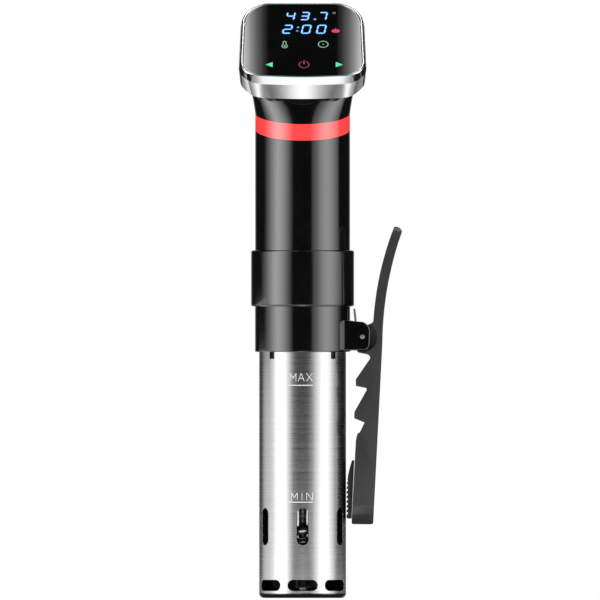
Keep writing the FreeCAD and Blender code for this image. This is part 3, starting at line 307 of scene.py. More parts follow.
MATERIALS = {
    "glass_edge": glass_edge(),
    "satin_steel": metal("satin_stainless", (0.55, 0.55, 0.55), (0.72, 0.72, 0.71), 0.38),
    "engraving": plain_plastic("frosted_engraving", (0.74, 0.74, 0.74), (0.84, 0.84, 0.84), 0.5),
    # painted highlight: the lip's lighter grey stands in for light caught on its rounded edge
    "painted_highlight_lip": plain_plastic("lip_painted_highlight", (0.05, 0.05, 0.052), (0.10, 0.10, 0.104), 0.25),
    "gloss_black": gloss_moulding(),
    "satin_black": satin_moulding(),
    "brushed_sleeve": brushed_sleeve(),
    "plain_steel": plain_steel(),
    "chrome_trim": chrome_trim(),
    "black_glass": black_glass(),
    "red_diffuser": red_diffuser(),
    "black_rubber": black_rubber(),
    "black_moulding": plain_plastic("black_technical_plastic", (0.012, 0.012, 0.013),
                                    (0.026, 0.026, 0.028), 0.45),
    "white_bearing_plastic": plain_plastic("white_bearing_plastic", (0.66, 0.65, 0.60),
                                           (0.78, 0.77, 0.73), 0.4),
    "component_grey": plain_plastic("component_grey", (0.10, 0.10, 0.11), (0.20, 0.20, 0.21), 0.45),
    "ribbon_grey": plain_plastic("ribbon_grey", (0.30, 0.30, 0.32), (0.42, 0.42, 0.44), 0.5),
    "display_window": plain_plastic("display_window", (0.004, 0.005, 0.008), (0.008, 0.010, 0.014), 0.2),
    "led_face": plain_plastic("led_face", (0.75, 0.66, 0.35), (0.86, 0.80, 0.52), 0.3),
    "circuit_board": circuit_board(),
    "ferrite": metal("ferrite_magnet", (0.05, 0.05, 0.055), (0.10, 0.10, 0.11), 0.45),
    "turned_aluminium": metal("turned_aluminium", (0.62, 0.63, 0.65), (0.76, 0.77, 0.78), 0.28),
}

for cad_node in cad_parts.values():
    for material_slot in cad_node.material_slots:
        material_slot.material = MATERIALS[material_slot.material.name]


# ---------------------------------------------------------------- mesh helpers

glass_low, glass_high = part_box("touch_glass")
PANEL_X = Vector((1, 0, 0))
PANEL_UP = Vector((0, math.cos(PANEL_TILT), math.sin(PANEL_TILT)))
PANEL_OUT = Vector((0, -math.sin(PANEL_TILT), math.cos(PANEL_TILT)))
GLASS_HALF_THICKNESS = 1.0
PANEL_CENTRE = (glass_low + glass_high) / 2 + PANEL_OUT * GLASS_HALF_THICKNESS * MM


def on_panel(x, up, lift=0.0):
    """Point on the glass, from its centre, in millimetres."""
    return PANEL_CENTRE + (PANEL_X * x + PANEL_UP * up + PANEL_OUT * lift) * MM


def in_scene(name, data):
    """A new object with that mesh, light or camera, linked to the scene."""
    made = bpy.data.objects.new(name, data)
    bpy.context.scene.collection.objects.link(made)
    return made


def mesh_piece(name, vertices, faces, materials, body="housing", sharp=None, finish=()):
    """A piece that rides on a body; edges sharper than sharp degrees stay crisp, the rest is smooth.

    The faces of a closed piece are turned to look outwards.
    """
    mesh = bpy.data.meshes.new(name)
    mesh.from_pydata([tuple(v) for v in vertices], [], faces)
    mesh.update()
    shape = bmesh.new()
    shape.from_mesh(mesh)
    if all(edge.is_manifold for edge in shape.edges):
        bmesh.ops.recalc_face_normals(shape, faces=shape.faces)
        shape.to_mesh(mesh)
    shape.free()
    for material in materials:
        mesh.materials.append(material)
    for polygon, index in zip(mesh.polygons, finish):
        polygon.material_index = index
    if sharp is not None:
        mesh.polygons.foreach_set("use_smooth", [True] * len(mesh.polygons))
        mesh.set_sharp_from_angle(angle=math.radians(sharp))
    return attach(in_scene(name, mesh), body)


def loft(name, rings, materials, sharp=35, capped=False, joined=False, finish=(), body="housing"):
    """Closed skin over rings with the same number of points; finish gives each band's material.

    Its two ends are capped, or its last ring is joined to its first.
    """
    count = len(rings[0])
    vertices = [point for ring_points in rings for point in ring_points]
    faces = []
    indices = []
    bands = [(k, k + 1) for k in range(len(rings) - 1)] + ([(len(rings) - 1, 0)] if joined else [])
    for number, (low, high) in enumerate(bands):
        for k in range(count):
            following = (k + 1) % count
            faces.append((low * count + k, low * count + following,
                          high * count + following, high * count + k))
            indices.append(finish[number] if finish else 0)
    for ring_number in (0, len(rings) - 1) if capped else ():
        vertices.append(sum((Vector(point) for point in rings[ring_number]), Vector()) / count)
        for k in range(count):
            edge = (ring_number * count + k, ring_number * count + (k + 1) % count)
            faces.append((*(edge if ring_number else edge[::-1]), len(vertices) - 1))
            indices.append(finish[-1] if finish and ring_number else indices[0])
    return mesh_piece(name, vertices, faces, materials, body=body, sharp=sharp, finish=indices)


# ---------------------------------------------------------------- head: bezel, glass and neck

FRONT_HALF, BACK_HALF, HALF_LENGTH = 41.2, 40.0, 39.0
FRONT_CORNER, BACK_CORNER, FRONT_SWEEP = 16.4, 21.0, 300.0
BEVEL_DEPTH, BAND_DEPTH = 5.2, 11.0
GLASS_INSET = 2.5
ARC_STEPS, SIDE_STEPS = 16, 12


def head_outline(inset):
    """The head's outline, drawn in by inset, as (x, up) pairs: four corners and a gently curved front."""
    front_x = FRONT_HALF - FRONT_CORNER
    half_angle = math.asin(front_x / (FRONT_SWEEP - FRONT_CORNER))
    sweep_y = FRONT_SWEEP - HALF_LENGTH
    front_y = sweep_y - (FRONT_SWEEP - FRONT_CORNER) * math.cos(half_angle)
    back_x, back_y = BACK_HALF - BACK_CORNER, HALF_LENGTH - BACK_CORNER
    lean = math.asin((FRONT_HALF - BACK_HALF) / math.hypot(front_x - back_x, front_y - back_y))
    quarter = math.radians(90)
    arcs = [(0.0, sweep_y, FRONT_SWEEP, -quarter - half_angle, -quarter + half_angle),
            (front_x, front_y, FRONT_CORNER, -quarter + half_angle, lean),
            (back_x, back_y, BACK_CORNER, lean, quarter),
            (-back_x, back_y, BACK_CORNER, quarter, 2 * quarter - lean),
            (-front_x, front_y, FRONT_CORNER, 2 * quarter - lean, 3 * quarter - half_angle)]
    points = []
    for number, (x, y, radius, enter, leave) in enumerate(arcs):
        steps = 2 * ARC_STEPS if number == 0 else ARC_STEPS
        arc = [enter + (leave - enter) * step / steps for step in range(steps + 1)]
        if number in (1, 4):
            arc = arc[1:] if number == 1 else arc[:-1]
        if points and number != 1:
            x1, y1 = points[-1]
            x2 = x + (radius - inset) * math.cos(arc[0])
            y2 = y + (radius - inset) * math.sin(arc[0])
            points += [(x1 + (x2 - x1) * step / SIDE_STEPS, y1 + (y2 - y1) * step / SIDE_STEPS)
                       for step in range(1, SIDE_STEPS)]
        points += [(x + (radius - inset) * math.cos(angle), y + (radius - inset) * math.sin(angle))
                   for angle in arc]
    return points


def front_weight(up):
    """1 along the head's front edge, 0 on its sides and back."""
    part = min(max((-up - 30.0) / 8.0, 0.0), 1.0)
    return part * part * (3 - 2 * part)


def head_ring(inset, lift, flare=0.0):
    """The outline on a plane below or above the glass; flare pushes its front edge outwards."""
    return [on_panel(x, up - flare * front_weight(up), lift) for x, up in head_outline(inset)]


def rim_ring(back, front):
    """Ring of the rim's crown: back and front are its (inset, lift) there, and the corners blend them."""
    ends = [head_outline(inset) for inset, _ in (back, front)]
    points = []
    for (x1, y1), (x2, y2) in zip(*ends):
        point = on_panel(x1, y1, back[1]).lerp(on_panel(x2, y2, front[1]), front_weight(y1))
        point.z = min(point.z, cad_box[1].z)
        points.append(point)
    return points


def make_bezel():
    """Chrome trim: seat for the glass, crowned rim, falling bevel, crisp seam and hollow-ground band."""
    seat = GLASS_INSET - 0.08
    rings = [head_ring(4.7, -3.0), head_ring(seat, -3.0), head_ring(seat, -0.3)]
    crown = [((2.3, -0.06), (2.38, -0.1)), ((2.1, 0.0), (2.32, -0.02)), ((1.8, -0.03), (2.27, 0.0)),
             ((1.5, -0.11), (2.2, -0.04)), ((1.2, -0.26), (2.13, -0.12)), ((0.95, -0.5), (2.08, -0.25)),
             ((0.78, -0.85), (2.03, -0.4))]
    rings += [rim_ring(back, front) for back, front in crown]
    (back_inset, back_lift), (front_inset, front_lift) = crown[-1]
    for part in (0.33, 0.66, 0.96, 1.0):
        rings.append(rim_ring((back_inset * (1 - part), back_lift - (BEVEL_DEPTH + back_lift) * part),
                              (front_inset * (1 - part), front_lift - (BEVEL_DEPTH + front_lift) * part)))
    for part in (0.03, 0.25, 0.5, 0.75, 0.96):
        rings.append(head_ring(0.9 * part, -BEVEL_DEPTH - BAND_DEPTH * part, 1.4 * part + 0.7 * part * part))
    bottom = -BEVEL_DEPTH - BAND_DEPTH
    rings += [head_ring(1.2, bottom, 2.2), head_ring(1.7, bottom - 0.05, 2.0), head_ring(4.7, bottom, 1.0)]
    bezel = loft("bezel_trim", rings, [MATERIALS["chrome_trim"]], sharp=24, joined=True)
    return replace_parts(bezel, "chrome_bezel")


GLASS_FLAT, GLASS_CURVE = 20.5, 0.0026


def glass_drop(x):
    """How far the glass falls away towards its sides."""
    return GLASS_CURVE * max(abs(x) - GLASS_FLAT, 0.0) ** 2


def make_glass():
    """Touch glass with ground, rounded edges, curving down towards its left and right sides."""
    edge_rings = [(0.02, -2.0), (0.0, -0.5), (0.08, -0.22), (0.24, -0.08), (0.45, -0.03)]
    rings = [[on_panel(x, up, lift - glass_drop(x)) for x, up in head_outline(GLASS_INSET + inset)]
             for inset, lift in edge_rings]
    flat_inset, flat_lift = edge_rings[-1]
    outline = head_outline(GLASS_INSET + flat_inset)
    inner_steps = 22
    for part in [0.99] + [1 - step / inner_steps for step in range(1, inner_steps)]:
        rings.append([on_panel(x * part, up * part, flat_lift - glass_drop(x * part)) for x, up in outline])
    finish = [1] * (len(edge_rings) - 1) + [0] * (inner_steps + 1)
    glass = loft("touch_panel", rings, [MATERIALS["black_glass"], MATERIALS["glass_edge"]], sharp=50,
                 capped=True, finish=finish)
    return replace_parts(glass, "touch_glass")


RING_TILT, RING_TOP = math.radians(13.5), 312.9
RING_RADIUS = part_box("light_ring")[1].x / MM
NECK_STEPS = 26
NECK_COUNT = 192
NECK_WALL = 1.6
SCOOP_DEPTH, SCOOP_HALF = 5.4, 17.5
OVAL_HALF, OVAL_POWER = 36.6, 2.0 / 2.1


def ring_top(angle):
    """Upper rim of the status ring's outer face, in millimetres."""
    x, y = RING_RADIUS * math.sin(angle), -RING_RADIUS * math.cos(angle)
    return Vector((x, y, RING_TOP + y * math.tan(RING_TILT)))


def rounded_power(value):
    """Sine or cosine bent so that the oval they draw has fuller shoulders than an ellipse."""
    return math.copysign(abs(value) ** OVAL_POWER, value)


def crossing(outline, angle, centre):
    """Where a level ray from the centre at that angle from the front meets a closed outline."""
    ray = Vector((math.sin(angle), -math.cos(angle), 0))
    for first, second in zip(outline, outline[1:] + outline[:1]):
        a, b = first - centre, second - centre
        side_a, side_b = ray.x * a.y - ray.y * a.x, ray.x * b.y - ray.y * b.x
        if side_a * side_b <= 0 and side_a != side_b:
            point = first + (second - first) * (side_a / (side_a - side_b))
            if (point - centre).xy.dot(ray.xy) > 0:
                return point
    raise ValueError("the outline does not go round the centre")


def make_neck():
    """Flared shell from the round status ring to an oval under the head, scooped out below its front lip."""
    under_band = [point / MM for point in head_ring(2.4, -BEVEL_DEPTH - BAND_DEPTH + 0.3, 0.9)]
    centre = sum(under_band, Vector()) / len(under_band)
    angles = [math.tau * k / NECK_COUNT for k in range(NECK_COUNT)]
    low_points = [ring_top(angle) for angle in angles]
    shelf = [crossing(under_band, angle, centre) for angle in angles]
    front, back = centre.y - shelf[0].y, shelf[NECK_COUNT // 2].y - centre.y
    high_points = []
    for angle, outer in zip(angles, shelf):
        away = Vector((OVAL_HALF * rounded_power(math.sin(angle)),
                       -(front if math.cos(angle) > 0 else back) * rounded_power(math.cos(angle)), 0))
        away.z = away.y * math.tan(PANEL_TILT)
        high_points.append(centre + away)

    def skin(k, part):
        """Point of the outer face, part of the way up from the ring to the oval."""
        low, high = low_points[k], high_points[k]
        spot = low.lerp(high, part * (0.7 + 0.3 * part))
        spot.z = low.z + (high.z - low.z) * part
        return spot

    def top_part(k):
        """How much of the skin's height is left under the scoop."""
        low, high = low_points[k], high_points[k]
        if abs(high.x) >= SCOOP_HALF or high.y > centre.y:
            return 1.0
        return 1 - SCOOP_DEPTH * (1 - (high.x / SCOOP_HALF) ** 2) / (high.z - low.z)

    rings = [[skin(k, top_part(k) * step / NECK_STEPS) for k in range(NECK_COUNT)]
             for step in range(NECK_STEPS + 1)]
    edge = rings[-1]
    inward = [(centre - point).xy.normalized().to_3d() for point in edge]
    for step_in, rise in ((0.25, 0.14), (0.6, 0.1), (1.0, -0.3), (1.3, -1.2)):
        rings.append([point + away * step_in + Vector((0, 0, rise)) for point, away in zip(edge, inward)])
    deep = [point + away * 6.0 for point, away in zip(high_points, inward)]
    rings.append([Vector((inner.x, inner.y, point.z)) for point, inner in zip(rings[-1], deep)])
    rings.append([inner + Vector((0, 0, 0.1)) for inner in deep])
    rings.append([point + Vector((0, 0, 0.2)) for point in shelf])
    rings.append([point + away * 6 + Vector((0, 0, 2.5)) for point, away in zip(shelf, inward)])
    inner_foot = [point + (Vector((0, 0, point.z)) - point).normalized() * NECK_WALL for point in rings[0]]
    rings = [inner_foot] + rings
    gloss_bands, lip_bands = NECK_STEPS + 1, 2
    # the two lip bands carry a painted highlight, a lighter grey than the gloss black
    finish = [0] * gloss_bands + [1] * lip_bands + [2] * (len(rings) - gloss_bands - lip_bands)
    shell = loft("neck_shell", [[point * MM for point in ring_points] for ring_points in rings],
                 [MATERIALS["gloss_black"], MATERIALS["painted_highlight_lip"], MATERIALS["black_rubber"]], sharp=32,
                 joined=True, finish=finish)
    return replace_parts(shell, "neck_housing")


make_bezel()
make_glass()
make_neck()


# ---------------------------------------------------------------- display and icons


def flat_shapes(name, outlines, material, lift=0.12):
    """Closed outlines on the panel, each a list of (x, up) in millimetres, as one flat piece."""
    vertices = []
    faces = []
    for outline in outlines:
        start = len(vertices)
        vertices += [on_panel(x, up, lift - glass_drop(x)) for x, up in outline]
        faces.append(list(range(start, len(vertices))))
    return mesh_piece(name, vertices, faces, [material])


def segment(ax, ay, bx, by, width):
    """Six-sided bar from a to b with pointed ends."""
    along = Vector((bx - ax, by - ay)).normalized()
    side = Vector((-along.y, along.x)) * width / 2
    a, b = Vector((ax, ay)), Vector((bx, by))
    inset = along * width / 2
    points = [a, a + inset + side, b - inset + side, b, b - inset - side, a + inset - side]
    return [(p.x, p.y) for p in points]


SEGMENTS_LIT = {"0": "abcdef", "2": "abged", "3": "abgcd", "4": "fgbc", "7": "abc"}
DIGIT_LEAN = 0.16


def digit(character, x, low, width, height, thick):
    """Lit bars of a seven-segment digit whose lower left corner is at (x, low)."""
    left, right = x, x + width
    bottom, middle, top = low, low + height / 2, low + height
    ends = {
        "a": (left, top, right, top),
        "b": (right, top, right, middle),
        "c": (right, middle, right, bottom),
        "d": (left, bottom, right, bottom),
        "e": (left, middle, left, bottom),
        "f": (left, top, left, middle),
        "g": (left, middle, right, middle),
    }
    gap = thick * 0.12
    bars = []
    for name in SEGMENTS_LIT[character]:
        ax, ay, bx, by = ends[name]
        along = Vector((bx - ax, by - ay)).normalized() * gap
        bars.append(segment(ax + along.x, ay + along.y, bx - along.x, by - along.y, thick))
    return bars


def ring(x, up, radius, width, start=0, end=360, steps=40):
    """Band round a centre between two angles in degrees, as four-sided pieces."""
    made = []
    for k in range(steps):
        angles = [math.radians(start + (end - start) * (k + j) / steps) for j in (0, 1)]
        inner, outer = radius - width / 2, radius + width / 2
        corners = ((inner, angles[0]), (outer, angles[0]), (outer, angles[1]), (inner, angles[1]))
        made.append([(x + r * math.cos(a), up + r * math.sin(a)) for r, a in corners])
    return made


def disc(x, up, radius, steps=24):
    """One round dot, as a list that holds its outline."""
    return [[(x + radius * math.cos(k * math.tau / steps), up + radius * math.sin(k * math.tau / steps))
             for k in range(steps)]]


digit_glow = glow("digit_blue_glow", (0.24, 0.66, 1.0), 1.5)
halo_glow = glow("digit_blue_halo", (0.006, 0.035, 0.36), 1.0)
TOP_ROW, LOW_ROW = 24.1, 11.0
STROKE, HALO_STROKE = 0.8, 1.9
TOP_DIGITS, LOW_DIGITS = (("4", -10.05), ("3", -0.85), ("7", 10.65)), (("2", -12.2), ("0", -0.1), ("0", 9.6))
TOP_FOOT, TOP_WIDTH, TOP_HEIGHT = 20.5, 4.7, 7.2
LOW_FOOT, LOW_WIDTH, LOW_HEIGHT = 7.0, 5.0, 7.9


def time_and_temperature(thick):
    """Lit bars of both rows, as wide as thick."""
    top = [bar for character, x in TOP_DIGITS
           for bar in digit(character, x, TOP_FOOT, TOP_WIDTH, TOP_HEIGHT, thick)]
    bottom = [bar for character, x in LOW_DIGITS
              for bar in digit(character, x, LOW_FOOT, LOW_WIDTH, LOW_HEIGHT, thick)]
    top += disc(8.4, 21.0, thick * 0.62)
    bottom += disc(-3.2, 9.3, thick * 0.5) + disc(-3.2, 12.8, thick * 0.5)
    return leaning(top, TOP_ROW) + leaning(bottom, LOW_ROW)


def leaning(outlines, about):
    """The outlines slanted to the right, with the height about left where it is."""
    return [[(x + DIGIT_LEAN * (up - about), up) for x, up in outline] for outline in outlines]


flat_shapes("display_halo", time_and_temperature(HALO_STROKE), halo_glow, lift=0.05)
flat_shapes("display_digits", time_and_temperature(STROKE), digit_glow)

green_glow = glow("icon_green_glow", (0.10, 0.75, 0.36), 1.0)
pale_glow = glow("icon_pale_green_glow", (0.30, 0.62, 0.42), 0.8)
red_glow = glow("icon_red_glow", (0.85, 0.02, 0.11), 0.9)
dull_red_glow = glow("key_red_glow", (0.45, 0.045, 0.07), 0.8)
grey_glow = glow("icon_grey_glow", (0.35, 0.42, 0.42), 0.5)

KEY_HEIGHT, ARROW_HALF, ARROW_LENGTH = -24.5, 2.6, 4.6
for side, name, foot in ((-1, "arrow_down", 19.3), (1, "arrow_up", 21.4)):
    arrow = [(side * foot, KEY_HEIGHT + ARROW_HALF), (side * (foot + ARROW_LENGTH), KEY_HEIGHT),
             (side * foot, KEY_HEIGHT - ARROW_HALF)]
    flat_shapes(name, [arrow[::side]], green_glow)

POWER_X, POWER_BAR_HALF = 0.9, 0.3
power_bar = [(POWER_X - POWER_BAR_HALF, -24.0), (POWER_X + POWER_BAR_HALF, -24.0),
             (POWER_X + POWER_BAR_HALF, -20.4), (POWER_X - POWER_BAR_HALF, -20.4)]
flat_shapes("power_icon", ring(POWER_X, KEY_HEIGHT, 3.2, 0.5, 115, 425), dull_red_glow)
flat_shapes("power_icon_bar", [power_bar], red_glow)

TIMER_X, TIMER_UP = 13.3, -4.1
flat_shapes("timer_icon", ring(TIMER_X, TIMER_UP, 3.1, 0.6) + disc(TIMER_X, TIMER_UP, 0.5), pale_glow)

STEM_X, BULB_UP, STEM_TOP, STEM_FOOT = -11.6, -6.0, -2.0, -4.7
thermometer = ring(STEM_X, BULB_UP, 1.7, 0.6, 125, 415, 24) + ring(STEM_X, STEM_TOP, 0.9, 0.55, 0, 180, 12)
for side in (-1, 1):
    near, far = STEM_X + side * 0.62, STEM_X + side * 1.18
    thermometer.append([(near, STEM_FOOT), (far, STEM_FOOT), (far, STEM_TOP), (near, STEM_TOP)][::side])
thermometer += disc(STEM_X, BULB_UP, 0.7)
flat_shapes("temperature_icon", thermometer, pale_glow)

flat_shapes("degree_mark", ring(20.3, 27.3, 0.8, 0.5, 0, 360, 20), grey_glow)

flames = [[(x - 0.9, 9.0), (x + 0.9, 9.0), (x + 0.7, 10.2), (x + 0.1, 9.9 + tall), (x - 0.7, 10.2)]
          for x, tall in ((19.7, 0.9), (21.3, 2.6), (22.9, 1.1))]
embers = [[(18.4, 9.4), (19.0, 8.1), (20.3, 7.5), (22.4, 7.5), (23.7, 8.1), (24.2, 9.4), (21.3, 9.9)]]
flat_shapes("heating_icon", flames + embers, red_glow)


# ---------------------------------------------------------------- clamp, its pin and spring, and the collar

pin_low, pin_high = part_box("clamp_pin")
PIN = Vector(((pin_low.x + pin_high.x) / 2, 0, (pin_low.z + pin_high.z) / 2)) / MM


EDGE_ANGLE = math.radians(40)


def softened_copy(name, node_name, material, body, width, segments):
    """Copy of a CAD node's mesh with its flat faces rejoined and its sharp edges rounded."""
    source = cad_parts[node_name].data
    work = bmesh.new()
    work.from_mesh(source)
    bmesh.ops.remove_doubles(work, verts=work.verts, dist=0.00001)
    bmesh.ops.dissolve_limit(work, angle_limit=math.radians(1.0), verts=work.verts, edges=work.edges)
    edges = [edge for edge in work.edges if len(edge.link_faces) == 2
             and edge.calc_face_angle(0) > EDGE_ANGLE]
    bmesh.ops.bevel(work, geom=edges, offset=width * MM, segments=segments, profile=0.5, affect="EDGES",
                    clamp_overlap=True)
    bmesh.ops.triangulate(work, faces=[face for face in work.faces if len(face.verts) > 4])
    mesh = bpy.data.meshes.new(name)
    work.to_mesh(mesh)
    work.free()
    mesh.materials.clear()
    mesh.materials.append(material)
    mesh.polygons.foreach_set("use_smooth", [True] * len(mesh.polygons))
    mesh.polygons.foreach_set("material_index", [0] * len(mesh.polygons))
    mesh.set_sharp_from_angle(angle=EDGE_ANGLE)
    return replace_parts(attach(in_scene(name, mesh), body), node_name)


softened_copy("clamp_arm_moulding", "clamp_lever", MATERIALS["satin_black"], "clamp_arm", 0.55, 3)
softened_copy("clamp_pad_rubber", "clamp_pad", MATERIALS["black_rubber"], "clamp_arm", 0.2, 2)


def lathe(name, profile, centre, axis, material, steps):
    """Closed turned piece on the housing.

    Its profile is a loop of (radius, along) in millimetres about an axis through centre.
    """
    axis = Vector(axis)
    side = axis.orthogonal().normalized()
    other = axis.cross(side)
    vertices = []
    for k in range(steps):
        angle = math.tau * k / steps
        outward = side * math.cos(angle) + other * math.sin(angle)
        vertices += [(Vector(centre) + outward * radius + axis * along) * MM for radius, along in profile]
    count = len(profile)
    faces = []
    for k in range(steps):
        here, there = k * count, (k + 1) % steps * count
        for j in range(count):
            following = (j + 1) % count
            faces.append((here + j, there + j, there + following, here + following))
    return mesh_piece(name, vertices, faces, [material], sharp=30)


HEAD_RADIUS, HEAD_CROWN, HEAD_DEPTH, AXIS_GAP = 1.75, 0.55, 0.6, 0.001
for name, side, face in (("pin_head_front", -1, pin_low.y / MM), ("pin_head_back", 1, pin_high.y / MM)):
    dome = [(HEAD_RADIUS * math.cos(math.radians(turn)) + AXIS_GAP,
             HEAD_CROWN * math.sin(math.radians(turn)) - 0.25) for turn in range(0, 91, 15)]
    shape = [(AXIS_GAP, -HEAD_DEPTH), (HEAD_RADIUS, -HEAD_DEPTH)] + dome
    lathe(name, shape, (PIN.x, face, PIN.z), (0, side, 0), MATERIALS["satin_steel"], 24)

grip_low, grip_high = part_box("grip_collar")
GRIP_RADIUS, GRIP_ROUND = grip_high.x / MM, 1.3
GRIP_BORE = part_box("handle_shell")[1].x / MM - 0.9
grip_profile = [(GRIP_BORE, grip_low.z / MM), (GRIP_BORE, grip_high.z / MM)]
for edge_height, into, turns in ((grip_high.z, -1, range(90, -1, -15)), (grip_low.z, 1, range(0, 91, 15))):
    for turn in turns:
        angle = math.radians(turn)
        grip_profile.append((GRIP_RADIUS - GRIP_ROUND * (1 - math.cos(angle)),
                             edge_height / MM + into * GRIP_ROUND * (1 - math.sin(angle))))
grip_ring = lathe("grip_ring", grip_profile, (0, 0, 0), (0, 0, 1), MATERIALS["gloss_black"], 128)
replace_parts(grip_ring, "grip_collar")


def tube_along(name, path, radius, material, body, steps=12):
    """Round wire along points in millimetres, with rounded ends."""
    turns = [math.tau * j / steps for j in range(steps)]
    frames = []
    normal = (path[1] - path[0]).orthogonal().normalized()
    for k, point in enumerate(path):
        along = (path[min(k + 1, len(path) - 1)] - path[max(k - 1, 0)]).normalized()
        normal = (normal - along * normal.dot(along)).normalized()
        frames.append((point, normal.copy(), along.cross(normal), along))

    def circle(frame_here, lift):
        """Ring about the wire, where its rounded end has risen by that angle."""
        point, first, second, along = frame_here
        spot = point + along * (radius * math.sin(lift))
        return [(spot + (first * math.cos(turn) + second * math.sin(turn)) * radius * math.cos(lift)) * MM
                for turn in turns]

    lifts = [math.radians(degrees) for degrees in (75, 50, 25)]
    rings = [circle(frames[0], -lift) for lift in lifts]
    rings += [circle(here, 0.0) for here in frames]
    rings += [circle(frames[-1], lift) for lift in reversed(lifts)]
    return loft(name, rings, [material], sharp=60, capped=True, body=body)


WIRE, COIL_RADIUS, COIL_TURNS = 0.7, 3.3, 4.5
COIL_GAP, COIL_STEPS = 0.12, 160
COIL_WIDTH = (2 * WIRE + COIL_GAP) * COIL_TURNS
# the coil's turns from SPLIT on, after a small gap, belong to the arm
SPLIT, GAP = 115, 3


def coil_point(turn):
    """Point on the spring's coil, whose first leg leaves on the collar's side."""
    angle = math.tau * turn + math.pi
    return PIN + Vector((COIL_RADIUS * math.cos(angle), COIL_WIDTH * (turn / COIL_TURNS - 0.5),
                         COIL_RADIUS * math.sin(angle)))


coil = [coil_point(COIL_TURNS * k / COIL_STEPS) for k in range(COIL_STEPS + 1)]
collar_leg = [coil[0] + Vector((-1.9, 0, 17.6)) * part for part in (1, 0.75, 0.5, 0.25, 0.08)]
arm_leg = [coil[-1] + Vector((2.0, 0, 8.0)) * part for part in (0.08, 0.3, 0.6, 1.0)]
spring = tube_along("torsion_spring", collar_leg + coil[:SPLIT], WIRE, MATERIALS["satin_steel"], "housing")
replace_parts(spring, "clamp_spring")
tube_along("spring_arm_leg", coil[SPLIT + GAP:] + arm_leg, WIRE, MATERIALS["satin_steel"], "clamp_arm")


# ---------------------------------------------------------------- water level marks on the sleeve

SLEEVE_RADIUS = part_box("steel_sleeve")[1].x / MM
MARK_LIFT = 0.03
LETTERS = {
    "M": [[(0, 0), (0, 1), (0.5, 0.35), (1, 1), (1, 0)]],
    "A": [[(0, 0), (0.5, 1), (1, 0)], [(0.2, 0.36), (0.8, 0.36)]],
    "X": [[(0, 0), (1, 1)], [(0, 1), (1, 0)]],
    "I": [[(0.5, 0), (0.5, 1)]],
    "N": [[(0, 0), (0, 1), (1, 0), (1, 1)]],
}


def on_sleeve(around, height):
    """Point on the sleeve, around millimetres to the right of its front."""
    angle = around / SLEEVE_RADIUS
    radius = SLEEVE_RADIUS + MARK_LIFT
    return Vector((radius * math.sin(angle), -radius * math.cos(angle), height)) * MM


LETTER_STROKE, LINE_STROKE = 0.34, 0.5
LINE_LEFT, LINE_RIGHT = -9.0, 6.4


def level_mark(name, word, left, low, letter, pitch, line_height):
    """Engraved word with a line under it, in millimetres; letter is one letter's width and height."""
    vertices = []
    faces = []

    def bar(a, b, width):
        """Adds a straight stroke that follows the sleeve's curve."""
        along = Vector((b[0] - a[0], b[1] - a[1]))
        side = Vector((-along.y, along.x)).normalized() * width / 2
        along = along.normalized() * width / 2
        steps = 1 + int(abs(b[0] - a[0]) / 0.8)
        first = len(vertices)
        for step in range(steps + 1):
            part = step / steps
            spot = Vector(a).lerp(Vector(b), part) + along * (2 * part - 1) * 0.5
            vertices.extend(on_sleeve(*(spot + offset)) for offset in (side, -side))
        for step in range(steps):
            k = first + 2 * step
            faces.append((k, k + 1, k + 3, k + 2))

    for number, character in enumerate(word):
        for stroke in LETTERS[character]:
            corners = [(left + number * pitch + x * letter[0], low + y * letter[1]) for x, y in stroke]
            for a, b in zip(corners, corners[1:]):
                bar(a, b, LETTER_STROKE)
    bar((LINE_LEFT, line_height), (LINE_RIGHT, line_height), LINE_STROKE)
    return mesh_piece(name, vertices, faces, [MATERIALS["engraving"]], body="sleeve")


level_mark("upper_level_mark", "MAX", -8.1, 139.9, (3.8, 5.0), 5.3, 137.2)
level_mark("lower_level_mark", "MIN", -7.2, 63.2, (3.8, 4.6), 4.9, 61.8)


# ---------------------------------------------------------------- studio


def panel_light(name, location, rotation, size, radiance, profile):
    """Flat soft light; its brightness follows profile from one side to the other."""
    data = bpy.data.lights.new(name, "AREA")
    data.shape = "RECTANGLE"
    data.size, data.size_y = size
    data.energy = radiance * math.pi * size[0] * size[1]
    data.use_nodes = True
    tree = data.node_tree
    across = add(tree, "ShaderNodeNewGeometry").outputs["Parametric"]
    split = add(tree, "ShaderNodeSeparateXYZ", {"Vector": across}).outputs["X"]
    ramp = add(tree, "ShaderNodeValToRGB", {"Fac": split})
    stops = ramp.color_ramp.elements
    while len(stops) < len(profile):
        stops.new(1.0)
    for stop, (at, value) in zip(stops, profile):
        stop.position = at
        stop.color = (value, value, value, 1)
    emission = tree.nodes["Emission"]
    tree.links.new(ramp.outputs["Color"], emission.inputs["Strength"])
    lamp = in_scene(name, data)
    lamp.location = location
    lamp.rotation_euler = rotation
    lamp.visible_camera = False


def softbox(name, azimuth, height, distance, size, radiance, profile, elevation=0.0):
    """Panel light facing the object from an azimuth counted from the camera's side."""
    angle = math.radians(azimuth)
    rise = math.radians(elevation)
    away = Vector((math.sin(angle) * math.cos(rise), -math.cos(angle) * math.cos(rise), math.sin(rise)))
    panel_light(name, away * distance + Vector((0, 0, height)), away.to_track_quat("Z", "Y").to_euler(),
                size, radiance, profile)


def mirrored(half):
    """Profile that is the same on both sides of the middle, from (distance from the middle, value) pairs."""
    left = [((1 - at) / 2, value) for at, value in reversed(half)]
    return left + [((1 + at) / 2, value) for at, value in half[1:]]


def reversed_profile(profile):
    """The same profile from the other side."""
    return [(1 - at, value) for at, value in reversed(profile)]


